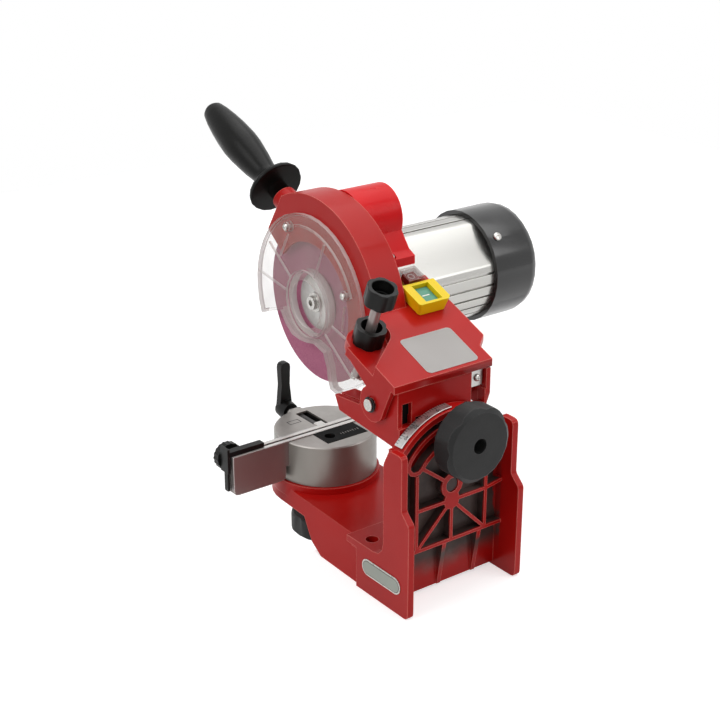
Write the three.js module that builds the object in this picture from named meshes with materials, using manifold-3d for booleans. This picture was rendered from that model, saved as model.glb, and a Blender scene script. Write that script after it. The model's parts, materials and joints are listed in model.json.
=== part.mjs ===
// Bench-mounted electric chainsaw chain sharpener. Millimetres, +Z up.
// X runs along the motor shaft towards the wheel side, +Y towards the ribbed rear plate.
// The origin is on the bench plane, midway between the two bench bolts.
import * as THREE from "three";
import { mergeVertices } from "three/addons/utils/BufferGeometryUtils.js";
import Module from "manifold-3d";

const wasm = await Module();
wasm.setup();

// Shared sizes
const gap = 0.3;
const overrun = 1;
const sideGap = 0.5;

// Main places
const wheelBack = 138;
const wheelHeight = 199.5;
const pinDrop = 35;
const studDrop = 22.8;
const pinHeight = wheelHeight - pinDrop;

// Base casting
const baseHalfWidth = 60;
const flangeThick = 6;
const skirtLift = 3.5;
const webFront = 30;
const webThick = 5;
const ribBack = 43;
const ribThick = 3;
const archSide = 2.32;
const archThick = 5;
const archHalfAngle = 51;
const archRadius = (baseHalfWidth - flangeThick - archSide) /
  Math.sin(THREE.MathUtils.degToRad(archHalfAngle));
const slotInset = 20;
const slotRadius = archRadius - slotInset;
const tiltHeight = pinHeight - studDrop - slotRadius;
const shoulderRise = 45.3;
const shoulderFront = 37;
const shoulderBack = 53;
const waistDrop = 2.2;
const waistStep = 9;
const flangeBack = 62.5;
const toeRadius = 5;
const footFront = -6;
const ledgeHeight = 42.5;
const ledgeThick = 6;
const ledgeFront = -19;
const ledgeReach = 25;
const boltInset = 12;
const boltHole = 5.5;
const boltBoss = 11;
const crossRibThick = 10;
const slotHalfWidth = 6;
const slotRim = 3.5;
const tiltRange = 50;
const slotSpare = 3;
const pivotBoss = 11;
const pivotRadius = 6;
const hubDrop = 13.7;
const hubRadius = 8;
const lowerRibHeight = 45.5;
const ribInset = 18;
const gussetThick = 4;
const gussetSpread = 18;

// Vise arm of the base casting
const viseBack = 133;
const armTop = 37.5;
const armFootInset = 3;
const armRootInset = 9.5;
const armNoseHeight = 23.5;
const armNoseSpan = 55;
const armKneeSpan = 34;
const armKneeHeight = 7;
const armToeSpan = 70;
const armWall = 6;
const armDeck = 7;
const seatMargin = 2.5;
const seatTop = 43.7;
const seatBoss = 17;
const viseBoltRadius = 6;
const viseBoltReach = 11;

// Clamp knobs, one behind the tilt slot and one under the vise
const knobRadius = 32;
const knobThick = 20;
const knobEdge = 4;
const knobHub = 13;
const knobHole = 6.5;
const knobHoleDepth = 12;
const knobLobes = 7;
const knobScoop = 30;
const knobScoopDepth = 2.2;
const knobStandOff = 9.5;
const viseKnobStandOff = 24;

// Tilt bracket
const bracketThick = 9;
const bracketHalf = 44.4;
const bracketArm = 4.5;
const bracketDrop = 32;
const bracketTopDrop = 13.5;
const bracketBoss = 15;
const wallHalf = 30.7;
const wallBack = 27.5;
const wallThick = 4;
const wallRise = 16.5;
const wallDrop = 8;
const farWallBack = 23.5;
const windowRise = 6;
const farWindowRise = 1;
const pinBack = 1;
const pinRadius = 5;
const pinHalfSpan = 54;
const pinBoss = 12;
const spurInner = 24;
const spurOuter = 38;
const spurTip = -56;
const spurTopDrop = 13;
const spurDrop = 12;
const farArmDrop = 6;
const clipRadius = 6.6;
const clipThick = 1.2;
const clipInset = 1.6;
const studRadius = 5;
const washerRadius = 11;
const washerThick = 2;
const pivotHead = 10;
const pivotHeadThick = 4;

// Return spring
const springRadius = 9;
const springWire = 1.4;
const springTurns = 9;
const springStart = -24;
const springPitch = 4;
const springLeg = 16;

// Head casting, drawn from the wheel centre
const rimRadius = 96;
const rimWall = 4;
const rimFront = 10;
const rimBack = -19.3;
const facePlate = 3;
const backPlate = 4;
const mouthRadius = 54;
const backFoot = -62;
const backHeel = 20;
const backToe = 60;
const chamferHighAngle = 117;
const chamferLowAngle = 142;
const chamferLowRadius = 82.8;
const plateSlope = 21.5;
const plateBack = 168;
const plateBackHeight = -11;
const plateThick = 5;
const plateHalf = 50;
const plateFar = 62;
const plateFarBack = 143;
const plateNotchBack = 152.5;
const lipDrop = 6;
const lipThick = 4;
const earThick = 4.5;
const earRadius = 15;
const earLead = 119;
const farEarOuter = 44;
const farEarThick = 6;
const lugFront = 111;
const lugFloorDrop = 9.5;
const lugThick = 8;
const notchRadius = 17;
const notchAngle = 37;
const notchFront = 40;
const boxFront = 66;
const boxBack = 122;
const boxFloor = -34;
const boxRise = 12;
const boxWall = 4;
const shaftHole = 13;

// Depth stop
const screwAcross = 30;
const screwAlong = 110.2;
const screwRadius = 4.5;
const screwTop = 33;
const screwBottom = -46;
const cupRadius = 13;
const cupHeight = 16;
const cupBore = 9;
const cupFloor = 5;
const cupLobes = 6;
const cupScoopDepth = 1.2;

// Grinding wheel and spindle
const wheelRadius = 72.5;
const wheelThick = 3.2;
const wheelBore = 11.1;
const flangeRadius = 25;
const flangeDisc = 4;
const flangeRelief = 1;
const arborHead = 6;
const arborHeadThick = 5;
const arborSocket = 3;
const shaftRadius = 6;
const journalRadius = 8;
const arborThread = 4;

// Motor
const motorRadius = 47.5;
const motorFront = rimBack - gap;
const motorBore = 41;
const motorBack = -163;
const motorPanelAngle = 43.2;
const motorPanelHalf = 24.6;
const finPitch = 13.3;
const finDepth = 2.4;
const finHalfAngle = 1.3;
const shieldRadius = 50;
const shieldThick = 4.4;
const statorInner = 26;
const statorFront = -62;
const statorBack = -128;
const statorClear = 0.5;
const rotorRadius = 25;
const bearingRadius = 14;
const bearingWidth = 9;
const frontBearing = -32;
const rearBearing = -150;
const bearingWeb = 5;
const capRadius = 52;
const capWall = 2.5;
const capFront = -158;
const capEnd = -212;
const capRound = 13;
const capVents = 8;
const capVentRadius = 30;
const capVentHalf = 3;
const capVentLength = 13;
const fanRadius = 43;
const fanHub = 12;
const fanFront = -176;
const fanBack = -194;
const fanBlades = 7;
const fanBladeThick = 2;
const fanDisc = 2;
const screwHead = 3.2;
const screwHeadThick = 2;
const screwShank = 1.8;
const driveSlot = 0.6;

// Capacitor cover
const coverFront = -20;
const coverBack = -62;
const coverAcross = 8;
const coverUp = 70;
const coverRadius = 27;
const coverWall = 2.5;
const coverFootOut = 52;
const coverFootTop = 43;
const coverFootLow = 36.5;
const coverScrewX = -40;
const coverScrewSeat = 64.5;
const coverScrewRecess = 4.2;
const coverScrewBoss = 6.2;
const coverScrewLength = 13;
const canRadius = 19;
const canLength = 34;

// Handle
const handleAcross = -50.3;
const handleUp = 72.3;
const handleAngle = 25.8;
const handleX = -5;
const handleBoss = 11;
const handleBossLength = 12.7;
const gripStart = 13;
const gripLength = 129.5;
const gripDisc = 26;
const gripDiscAt = 27.5;
const gripDiscThick = 5;
const gripNeck = 9;
const gripBelly = 16.6;
const gripProfileShares = [
  [0.147, 0.633], [0.255, 0.681], [0.378, 0.855], [0.517, 0.976], [0.595, 1], [0.703, 0.952], [0.811, 0.855],
  [0.911, 0.723], [0.973, 0.602], [0.996, 0.452]];
const gripBore = 4.5;
const handleStud = 4;
const handleStudLength = 60;

// Clear wheel guard
const guardBack = 10.3;
const guardFace = 12;
const guardSheet = 2;
const guardRim = 2.2;
const guardRadius = 79;
const guardFrom = -8;
const guardTo = 202;
const guardSkirtEnd = 203;
const guardBandEnd = 283;
const guardSeatFrom = -34;
const guardSeatTo = 200;
const guardApronBack = 6;
const guardBandShares = [0.589, 0.573, 0.553, 0.5, 0.465, 0.448];
const guardTailShares = [
  [0.282, -0.485], [0.348, -0.634], [0.37, -0.771], [0.413, -0.871], [0.525, -0.889], [0.544, -0.881],
  [0.772, -0.767], [1.03, -0.6]];
const guardTube = 30;
const guardTubeFront = 16.3;
const guardEye = 21.5;
const guardRib = 1.6;
const guardRibShares = [
  [[-0.303, 0.229], [-0.708, 0.533]], [[0.155, 0.347], [0.34, 0.763]], [[-0.376, 0.056], [-0.951, 0.142]],
  [[0.467, -0.116], [0.835, -0.208]], [[0.338, -0.246], [0.819, -0.595]], [[-0.337, 0.709], [-0.5, 0.423]],
  [[0.7, 0.173], [0.654, -0.114]]];
const guardArcRib = 68;
const guardArcFrom = 20;
const guardArcTo = 106;
const guardPost = 4.5;
const guardPostFront = 15.5;
const guardPostRadii = [68.6, 59, 81.4];
const guardPostAngles = [115, 23, -31.7];
const guardTab = 6;

// Switch
const switchX = -37.35;
const switchAlong = 86.5;
const trayFoot = 14.6;
const trayRim = 16.8;
const trayFar = -4.5;
const trayNear = 22;
const trayHeight = 11.5;
const trayFloor = 2;
const trayChamfer = 1.5;
const tongueHalf = 8.6;
const tongueFar = -21.5;
const tongueHeight = 4.2;
const onHalfX = 8;
const onHalfY = 10;
const onAt = 8.9;
const onTop = 7.6;
const offHalfX = 6;
const offHalfY = 5.2;
const offAt = -13.4;
const offTop = 10.5;
const buttonTravel = 2.5;
const buttonStem = 3;
const pocketHalf = 7.5;
const pocketFar = -17;
const pocketNear = 19;
const pocketDepth = 18;
const flapSheet = 1.2;
const flapTop = 14.4;

// Vise
const discRadius = 46;
const discHeight = 37.8;
const channelHalf = 6.5;
const channelDepth = 11;
const jawNear = 8;
const jawThick = 4.5;
const jawOpen = 2.2;
const jawHeight = 37;
const jawInnerHeight = 24;
const jawStep = 48;
const jawEnd = 102;
const jawFarEnd = -29;
const jawProud = 1;
const jawCorner = 5;
const insertNear = 31;
const insertWest = -24;
const insertEast = 19;
const insertThick = 5;
const insertHole = 5;
const insertProud = 0.4;
const rodRadius = 4;
const rodDrop = 6;
const leverOut = 62;
const leverHub = 8;
const leverHubLength = 14;
const leverLength = 46.5;
const leverHalf = 5.5;
const leverThick = 6.5;
const leverNeckShare = 0.4;
const frontBoss = 9;
const frontBossOut = 49;
const stopStart = 69;
const stopHeight = 4.4;
const stopClear = 2;
const stopHead = 6;
const stopHalf = 3.6;
const stopLeg = 32;
const stopLegThick = 2.4;
const stopLegHalf = 2.6;
const stopPlateStart = 88;
const stopPlateDrop = 14;
const stopKnobAt = 96.6;
const stopKnobDrop = 4.9;
const stopKnobRadius = 12.6;
const stopKnobThick = 7;
const stopScrew = 1.5;
const knurlCount = 18;
const knurlDepth = 0.7;
const keeperHalf = 6;
const keeperHeight = 15;
const keeperThick = 2;
const stripThick = 1.2;
const stripWidth = 9;

// Geometry helpers
const rad = THREE.MathUtils.degToRad;
const toYZ = new THREE.Matrix4().makeBasis(
  new THREE.Vector3(0, 1, 0), new THREE.Vector3(0, 0, 1), new THREE.Vector3(1, 0, 0));
const toXZ = new THREE.Matrix4().makeBasis(
  new THREE.Vector3(1, 0, 0), new THREE.Vector3(0, 0, 1), new THREE.Vector3(0, -1, 0));

function solid(geometry) {
  const bare = geometry.clone();
  bare.deleteAttribute("normal");
  bare.deleteAttribute("uv");
  const merged = mergeVertices(bare, 1e-4);
  const vertProperties = new Float32Array(merged.attributes.position.array);
  const triVerts = new Uint32Array(merged.index.array);
  return new wasm.Manifold(new wasm.Mesh({ numProp: 3, vertProperties, triVerts }));
}

function geometryOf(body) {
  const mesh = body.getMesh();
  const geometry = new THREE.BufferGeometry();
  geometry.setAttribute("position", new THREE.BufferAttribute(new Float32Array(mesh.vertProperties), 3));
  geometry.setIndex(new THREE.BufferAttribute(new Uint32Array(mesh.triVerts), 1));
  geometry.computeVertexNormals();
  return geometry;
}

function union(parts) {
  return parts.slice(1).reduce((sum, part) => sum.add(part), parts[0]);
}

function cut(body, tools) {
  return tools.reduce((rest, tool) => rest.subtract(tool), body);
}

function box(x0, x1, y0, y1, z0, z1) {
  const geometry = new THREE.BoxGeometry(x1 - x0, y1 - y0, z1 - z0);
  geometry.translate((x0 + x1) / 2, (y0 + y1) / 2, (z0 + z1) / 2);
  return solid(geometry);
}

function shapeOf(points) {
  return new THREE.Shape(points.map(([a, b]) => new THREE.Vector2(a, b)));
}

// An outline with its corners rounded: each point is [a, b] or [a, b, radius].
function rounded(points, steps = 3) {
  const out = [];
  points.forEach(([a, b, r], i) => {
    if (!r) {
      out.push([a, b]);
      return;
    }
    const here = new THREE.Vector2(a, b);
    const before = new THREE.Vector2(...points[(i + points.length - 1) % points.length].slice(0, 2));
    const after = new THREE.Vector2(...points[(i + 1) % points.length].slice(0, 2));
    const back = before.clone().sub(here);
    const fore = after.clone().sub(here);
    const half = Math.acos(back.clone().normalize().dot(fore.clone().normalize())) / 2;
    const reach = Math.min(r / Math.tan(half), back.length() / 2, fore.length() / 2);
    const start = here.clone().addScaledVector(back.normalize(), reach);
    const end = here.clone().addScaledVector(fore.normalize(), reach);
    for (let k = 0; k <= steps; k += 1) {
      const t = k / steps;
      out.push([
        (1 - t) * (1 - t) * start.x + 2 * t * (1 - t) * here.x + t * t * end.x,
        (1 - t) * (1 - t) * start.y + 2 * t * (1 - t) * here.y + t * t * end.y]);
    }
  });
  return out;
}

function arc(cx, cy, r, from, to, steps) {
  const points = [];
  for (let k = 0; k <= steps; k += 1) {
    const angle = rad(from + ((to - from) * k) / steps);
    points.push([cx + r * Math.cos(angle), cy + r * Math.sin(angle)]);
  }
  return points;
}

// A closed outline, drawn counterclockwise, moved inwards by an even distance.
function insetOutline(points, by) {
  return points.map(([a, b], i) => {
    const here = new THREE.Vector2(a, b);
    const back = here.clone().sub(new THREE.Vector2(...points[(i + points.length -
      1) % points.length])).normalize();
    const fore = new THREE.Vector2(...points[(i + 1) % points.length]).sub(here).normalize();
    const inward = new THREE.Vector2(-back.y - fore.y, back.x + fore.x).normalize();
    const square = new THREE.Vector2(-fore.y, fore.x).dot(inward);
    return [a + (inward.x * by) / square, b + (inward.y * by) / square];
  });
}

function extrude(points, depth) {
  return new THREE.ExtrudeGeometry(shapeOf(points), { depth, bevelEnabled: false });
}

// Outline in Y and Z, thick along X.
function slabX(points, x0, x1) {
  const geometry = extrude(points, x1 - x0);
  geometry.applyMatrix4(toYZ);
  geometry.translate(x0, 0, 0);
  return solid(geometry);
}

// Outline in X and Z, thick along Y.
function slabY(points, y0, y1) {
  const geometry = extrude(points, y1 - y0);
  geometry.applyMatrix4(toXZ);
  geometry.translate(0, y1, 0);
  return solid(geometry);
}

// Outline in X and Y, thick along Z.
function slabZ(points, z0, z1) {
  const geometry = extrude(points, z1 - z0);
  geometry.translate(0, 0, z0);
  return solid(geometry);
}

function spin(profile, steps) {
  return new THREE.LatheGeometry(profile.map(([r, h]) => new THREE.Vector2(r, h)), steps);
}

// Turned shapes: profile points are [radius, height] from the axis back to the axis.
function latheX(profile, cy, cz, steps = 26) {
  const geometry = spin(profile, steps);
  geometry.rotateZ(-Math.PI / 2);
  geometry.translate(0, cy, cz);
  return solid(geometry);
}

function latheY(profile, cx, cz, steps = 26) {
  const geometry = spin(profile, steps);
  geometry.translate(cx, 0, cz);
  return solid(geometry);
}

function latheZ(profile, cx, cy, steps = 26) {
  const geometry = spin(profile, steps);
  geometry.rotateX(Math.PI / 2);
  geometry.translate(cx, cy, 0);
  return solid(geometry);
}

function cylX(r, x0, x1, cy, cz, steps = 18) {
  return latheX([[0, x0], [r, x0], [r, x1], [0, x1]], cy, cz, steps);
}

function cylY(r, y0, y1, cx, cz, steps = 18) {
  return latheY([[0, y0], [r, y0], [r, y1], [0, y1]], cx, cz, steps);
}

function cylZ(r, z0, z1, cx, cy, steps = 18) {
  return latheZ([[0, z0], [r, z0], [r, z1], [0, z1]], cx, cy, steps);
}

function ringX(r, bore, x0, x1, cy, cz, steps = 24) {
  return latheX([[bore, x0], [r, x0], [r, x1], [bore, x1], [bore, x0]], cy, cz, steps);
}

// A body drawn from two outlines with equal point counts, one above the other.
function loft(low, high, z0, z1) {
  const count = low.length;
  const positions = [];
  low.forEach(([x, y]) => positions.push(x, y, z0));
  high.forEach(([x, y]) => positions.push(x, y, z1));
  const faces = THREE.ShapeUtils.triangulateShape(low.map(([x, y]) => new THREE.Vector2(x, y)), []);
  const index = [];
  faces.forEach(([a, b, c]) => {
    index.push(c, b, a);
    index.push(a + count, b + count, c + count);
  });
  for (let i = 0; i < count; i += 1) {
    const j = (i + 1) % count;
    index.push(i, j, j + count, i, j + count, i + count);
  }
  const geometry = new THREE.BufferGeometry();
  geometry.setAttribute("position", new THREE.Float32BufferAttribute(positions, 3));
  geometry.setIndex(index);
  return solid(geometry);
}

function placed(body, matrix) {
  const geometry = geometryOf(body);
  geometry.deleteAttribute("normal");
  geometry.applyMatrix4(matrix);
  return solid(geometry);
}

// Materials
function finish(color, roughness, metalness, extra = {}) {
  return new THREE.MeshStandardMaterial({ color, roughness, metalness, ...extra });
}
const redPaint = () => finish(0xb82a26, 0.28, 0);
const redPlastic = () => finish(0xe0202c, 0.35, 0);
const blackPlastic = () => finish(0x1b1b1c, 0.4, 0);
const greyPlastic = () => finish(0x4a4a4b, 0.55, 0);
const steel = () => finish(0xb9bbbd, 0.25, 1);
const zinc = () => finish(0xc9cacc, 0.4, 1);
const aluminium = () => finish(0xe2e2e0, 0.35, 1);
const castIron = () => finish(0xa9a8a4, 0.45, 0.8);
const copper = () => finish(0x9c5a34, 0.4, 1);
const clear = () => finish(0xf4f6f7, 0.08, 0, { transparent: true, opacity: 0.35 });
const abrasive = () => finish(0xb06a96, 0.95, 0);
const yellow = () => finish(0xf2c011, 0.4, 0);
const green = () => finish(0x4fae9c, 0.35, 0);
const redButton = () => finish(0xb0403c, 0.35, 0);
const grip = () => finish(0x161617, 0.6, 0);

const machine = new THREE.Group();

function add(parent, name, body, material) {
  const mesh = new THREE.Mesh(geometryOf(body), material);
  mesh.name = name;
  parent.add(mesh);
}

// Base casting
const wheelY = -wheelBack;
const viseY = -viseBack;
const flangeInner = baseHalfWidth - flangeThick;
const shoulderHeight = tiltHeight + shoulderRise;
const waistHeight = tiltHeight - waistDrop;
const hubHeight = tiltHeight - hubDrop;
const ribSpread = flangeInner - ribInset;
const boltSpread = baseHalfWidth - boltInset;
const ledgeInner = boltSpread - ledgeReach;
const armHalfFoot = baseHalfWidth - armFootInset;
const armHalfRoot = baseHalfWidth - armRootInset;
const armHalfTop = discRadius;
const seatRadius = discRadius + seatMargin;
const webBack = webFront + webThick;
const armRoot = footFront + flangeThick / 2;

function flangeOutline() {
  return [
    ...rounded([
      [footFront, 0], [flangeBack, 0, toeRadius], [flangeBack, waistHeight - waistStep, toeRadius],
      [shoulderBack, waistHeight, toeRadius], [shoulderBack, shoulderHeight, toeRadius],
      [shoulderFront, shoulderHeight, toeRadius], [webFront, shoulderHeight - waistStep - toeRadius,
        toeRadius],
      [webFront, ledgeHeight, waistStep + toeRadius], [footFront, ledgeHeight]])];
}

function ringSector(r, bore, half, y0, y1) {
  const outline = [
    ...arc(0, tiltHeight, r, 90 - half, 90 + half, 16),
    ...arc(0, tiltHeight, bore, 90 + half, 90 - half, 16)];
  return slabY(outline, y0, y1);
}

// The slot runs from the upright stud to the stud at full tilt.
function slotSector(grow, y0, y1) {
  const from = 90 + slotSpare;
  const to = 90 - tiltRange - slotSpare;
  const outline = [
    ...arc(0, tiltHeight, slotRadius + slotHalfWidth + grow, from, to, 14),
    ...arc(slotRadius * Math.cos(rad(to)), tiltHeight + slotRadius * Math.sin(rad(to)),
      slotHalfWidth + grow, to, to - 180, 6).slice(1, -1),
    ...arc(0, tiltHeight, slotRadius - slotHalfWidth - grow, to, from, 14),
    ...arc(slotRadius * Math.cos(rad(from)), tiltHeight + slotRadius * Math.sin(rad(from)),
      slotHalfWidth + grow, from + 180, from, 6).slice(1, -1)];
  return slabY(outline.reverse(), y0, y1);
}

// A straight rib on the web's rear between two points in X and Z.
function rib(x0, z0, x1, z1, back) {
  const along = new THREE.Vector2(x1 - x0, z1 - z0).normalize();
  const side = new THREE.Vector2(-along.y, along.x).multiplyScalar(ribThick / 2);
  return slabY([
    [x0 - side.x, z0 - side.y], [x1 - side.x, z1 - side.y],
    [x1 + side.x, z1 + side.y], [x0 + side.x, z0 + side.y]], webBack - overrun, back);
}

function webOutline() {
  const archEnd = archRadius * Math.cos(rad(90 - archHalfAngle));
  const archFoot = tiltHeight + archRadius * Math.sin(rad(90 - archHalfAngle));
  const edge = flangeInner + overrun;
  return [
    [-edge, skirtLift], [edge, skirtLift], [edge, archFoot + overrun], [archEnd, archFoot + overrun],
    ...arc(0, tiltHeight, archRadius - overrun, 90 - archHalfAngle, 90 + archHalfAngle, 16),
    [-archEnd, archFoot + overrun], [-edge, archFoot + overrun]];
}

function webRibs() {
  const slotEnd = 90 - tiltRange - slotSpare;
  const slotX = (slotRadius - slotHalfWidth) * Math.cos(rad(slotEnd));
  const slotZ = tiltHeight + (slotRadius - slotHalfWidth) * Math.sin(rad(slotEnd));
  const wide = flangeInner + overrun;
  return [
    rib(0, lowerRibHeight, 0, tiltHeight, ribBack),
    rib(ribSpread, lowerRibHeight, ribSpread, tiltHeight + ribSpread / 2, ribBack),
    rib(-ribSpread, lowerRibHeight, -ribSpread, tiltHeight + ribSpread, ribBack),
    rib(-ribSpread, hubHeight, ribSpread, hubHeight, ribBack),
    rib(-wide, hubHeight + ribThick, -ribSpread, hubHeight, ribBack),
    rib(-wide, lowerRibHeight, wide, lowerRibHeight, ribBack),
    rib(0, hubHeight, ribSpread, lowerRibHeight, ribBack),
    rib(0, hubHeight, -ribSpread, lowerRibHeight, ribBack),
    rib(0, tiltHeight, slotX, slotZ, ribBack),
    rib(0, tiltHeight, -ribSpread, hubHeight + ribSpread, ribBack)];
}

function gusset(x) {
  return slabX([[webBack - overrun, skirtLift], [webBack + overrun, skirtLift],
    [ribBack, lowerRibHeight], [webBack - overrun, lowerRibHeight]], x, x + gussetThick);
}

function armOutline(noseHalf, rootHalf) {
  const nose = arc(0, viseY, noseHalf, 0, -180, 16);
  return [[rootHalf, armRoot], ...nose, [-rootHalf, armRoot]].reverse();
}

function armProfile(lower, top) {
  const nose = viseY - armHalfTop - overrun - armWall;
  return slabX([
    [nose, armNoseHeight + lower], [viseY + armNoseSpan - armKneeSpan / 2, armNoseHeight + lower],
    [viseY + armNoseSpan, armKneeHeight + lower], [viseY + armToeSpan, lower], [armRoot, lower],
    [armRoot, top], [nose, top]], -armHalfFoot - overrun, armHalfFoot + overrun);
}

function viseArm() {
  const outer = loft(armOutline(armHalfFoot - armWall / 2, armHalfFoot),
    armOutline(armHalfTop, armHalfRoot), 0, armTop).intersect(armProfile(0, armTop));
  const inner = loft(armOutline(armHalfFoot - armWall * 1.5, armHalfFoot - armWall),
    armOutline(armHalfTop - armWall, armHalfRoot - armWall), 0, armTop);
  const hollow = inner.intersect(armProfile(-overrun, armTop - armDeck));
  return { outer, hollow };
}

function baseCasting() {
  const arm = viseArm();
  const flange = flangeOutline();
  const ledge = (side) => box(side > 0 ? ledgeInner : -baseHalfWidth, side > 0 ? baseHalfWidth : -ledgeInner,
    ledgeFront, webFront + overrun, ledgeHeight - ledgeThick, ledgeHeight);
  let body = union([
    slabY(webOutline(), webFront, webBack),
    ringSector(archRadius, archRadius - archThick, archHalfAngle, webFront, ribBack),
    slabX(flange, flangeInner, baseHalfWidth),
    slabX(flange, -baseHalfWidth, -flangeInner),
    slotSector(slotRim, webFront, ribBack),
    cylY(pivotBoss, webFront, ribBack, 0, tiltHeight),
    cylY(hubRadius, webFront, ribBack, 0, hubHeight, 12),
    ...webRibs(),
    gusset(gussetSpread / 4),
    gusset(-gussetSpread * 1.8),
    cut(arm.outer, [arm.hollow]),
    cylZ(seatRadius, armTop - armDeck, seatTop, 0, viseY, 40),
    cylZ(seatBoss, armNoseHeight, armTop, 0, viseY),
    ledge(1),
    ledge(-1),
    box(-flangeInner - overrun, flangeInner + overrun, footFront, footFront + armWall, armTop - armDeck,
      ledgeHeight),
    box(-flangeInner - overrun, flangeInner + overrun, ledgeFront, footFront + armWall,
      armTop - armDeck, ledgeHeight - ledgeThick + overrun),
    box(-flangeInner - overrun, flangeInner + overrun, -crossRibThick / 2, crossRibThick / 2, 0,
      armTop - overrun),
    cylZ(boltBoss, 0, ledgeHeight, boltSpread, 0),
    cylZ(boltBoss, 0, ledgeHeight, -boltSpread, 0)]);
  body = cut(body, [
    slotSector(0, webFront - overrun, ribBack + overrun),
    cylY(pivotRadius + gap, webFront - overrun, ribBack + overrun, 0, tiltHeight),
    cylZ(viseBoltRadius + gap, armNoseHeight - overrun, seatTop + overrun, 0, viseY),
    cylZ(boltHole, -overrun, ledgeHeight + overrun, boltSpread, 0),
    cylZ(boltHole, -overrun, ledgeHeight + overrun, -boltSpread, 0)]);
  return body;
}

function scaleStrip() {
  const outline = [
    ...arc(0, tiltHeight, archRadius + gap + stripThick, 90 - archHalfAngle + slotSpare, 90, 12),
    ...arc(0, tiltHeight, archRadius + gap, 90, 90 - archHalfAngle + slotSpare, 12)];
  return slabY(outline, webFront + stripThick, webFront + stripThick + stripWidth);
}

// Clamp knob: a lobed disc on a short hub, blind hole in its face, along local +Z.
function clampKnob(bore, standOff) {
  const outline = [];
  const steps = knobLobes * 5;
  for (let k = 0; k < steps; k += 1) {
    const angle = (2 * Math.PI * k) / steps;
    const dip = Math.max(0, Math.cos(angle * knobLobes)) * knobScoopDepth;
    outline.push([(knobRadius - dip) * Math.cos(angle), (knobRadius - dip) * Math.sin(angle)]);
  }
  const disc = slabZ(outline, standOff, standOff + knobThick);
  const crown = latheZ([
    [0, 0], [knobHub, 0], [knobHub + knobEdge, standOff - overrun],
    [knobScoop, standOff - overrun], [knobRadius + overrun, standOff + knobEdge],
    [knobRadius + overrun, standOff + knobThick - knobEdge],
    [knobScoop - knobEdge / 2, standOff + knobThick], [0, standOff + knobThick]], 0, 0, 20);
  const neck = latheZ([[0, 0], [knobHub, 0], [knobHub + knobEdge, standOff + overrun],
    [0, standOff + overrun]], 0, 0, 18);
  const hole = standOff + knobThick - knobHoleDepth;
  return cut(union([disc.intersect(crown), neck]), [
    cylZ(knobHole, hole, standOff + knobThick + overrun, 0, 0),
    cylZ(bore, -overrun, hole + overrun, 0, 0, 12)]);
}

// Bench-side pieces
add(machine, "base_casting", baseCasting(), redPaint());
add(machine, "tilt_scale_strip", scaleStrip(), zinc());

const viseKnob = new THREE.Group();
viseKnob.position.set(0, viseY, armNoseHeight - gap);
viseKnob.rotation.x = Math.PI;
add(viseKnob, "vise_lock_knob", clampKnob(viseBoltRadius + gap, viseKnobStandOff), greyPlastic());
machine.add(viseKnob);

// Tilt bracket
const bracketBack = webFront - gap;
const bracketFoot = pinHeight - bracketDrop;
const bracketTop = pinHeight - bracketTopDrop;
const wallTop = pinHeight + wallRise;
const wallFoot = pinHeight - wallDrop;
const windowTop = pinHeight + windowRise;
const farWindowTop = pinHeight + farWindowRise;
const spurTop = pinHeight - spurTopDrop;
const farArmFoot = pinHeight - farArmDrop;
const armOuter = bracketHalf;
const armInner = bracketHalf - bracketArm;

function bracketPlateOutline() {
  const foot = bracketFoot;
  return [
    ...arc(0, tiltHeight, bracketBoss, 200, 340, 10),
    ...rounded([[bracketHalf, foot, toeRadius]]),
    [bracketHalf, bracketTop], [-bracketHalf, bracketTop],
    ...rounded([[-bracketHalf, foot, toeRadius]])];
}

function nearArm() {
  return slabX([
    [bracketBack, bracketFoot], [bracketBack, bracketTop], [wallBack, bracketTop], [wallBack, wallTop],
    [pinBack + pinBoss, pinHeight + pinBoss], [pinBack - pinBoss, pinHeight + pinBoss / 2],
    [pinBack - pinBoss - spurDrop, spurTop + spurDrop / 4], [spurTip, spurTop],
      [spurTip + spurDrop / 2, spurTop - spurDrop],
  ], armInner, armOuter);
}

function spur() {
  return slabX([
    [spurTip, spurTop], [spurTip + spurDrop / 2, spurTop - spurDrop],
    [pinBack, bracketFoot + overrun * 2], [pinBack + pinBoss, pinHeight - pinBoss],
    [pinBack - pinBoss, pinHeight - pinBoss / 2], [pinBack - pinBoss - spurDrop, spurTop + spurDrop / 4]],
  spurInner, spurOuter);
}

function farArm() {
  return slabX(rounded([
    [bracketBack, farArmFoot, toeRadius], [bracketBack, wallTop, bracketArm], [wallBack, wallTop],
    [pinBack + pinBoss, pinHeight + pinBoss], [pinBack - pinBoss, pinHeight + pinBoss / 2, toeRadius],
    [pinBack - pinBoss, pinHeight - pinBoss, toeRadius], [bracketBack - toeRadius, bracketFoot + spurDrop]]),
  -bracketHalf - bracketArm, -bracketHalf);
}

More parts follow.
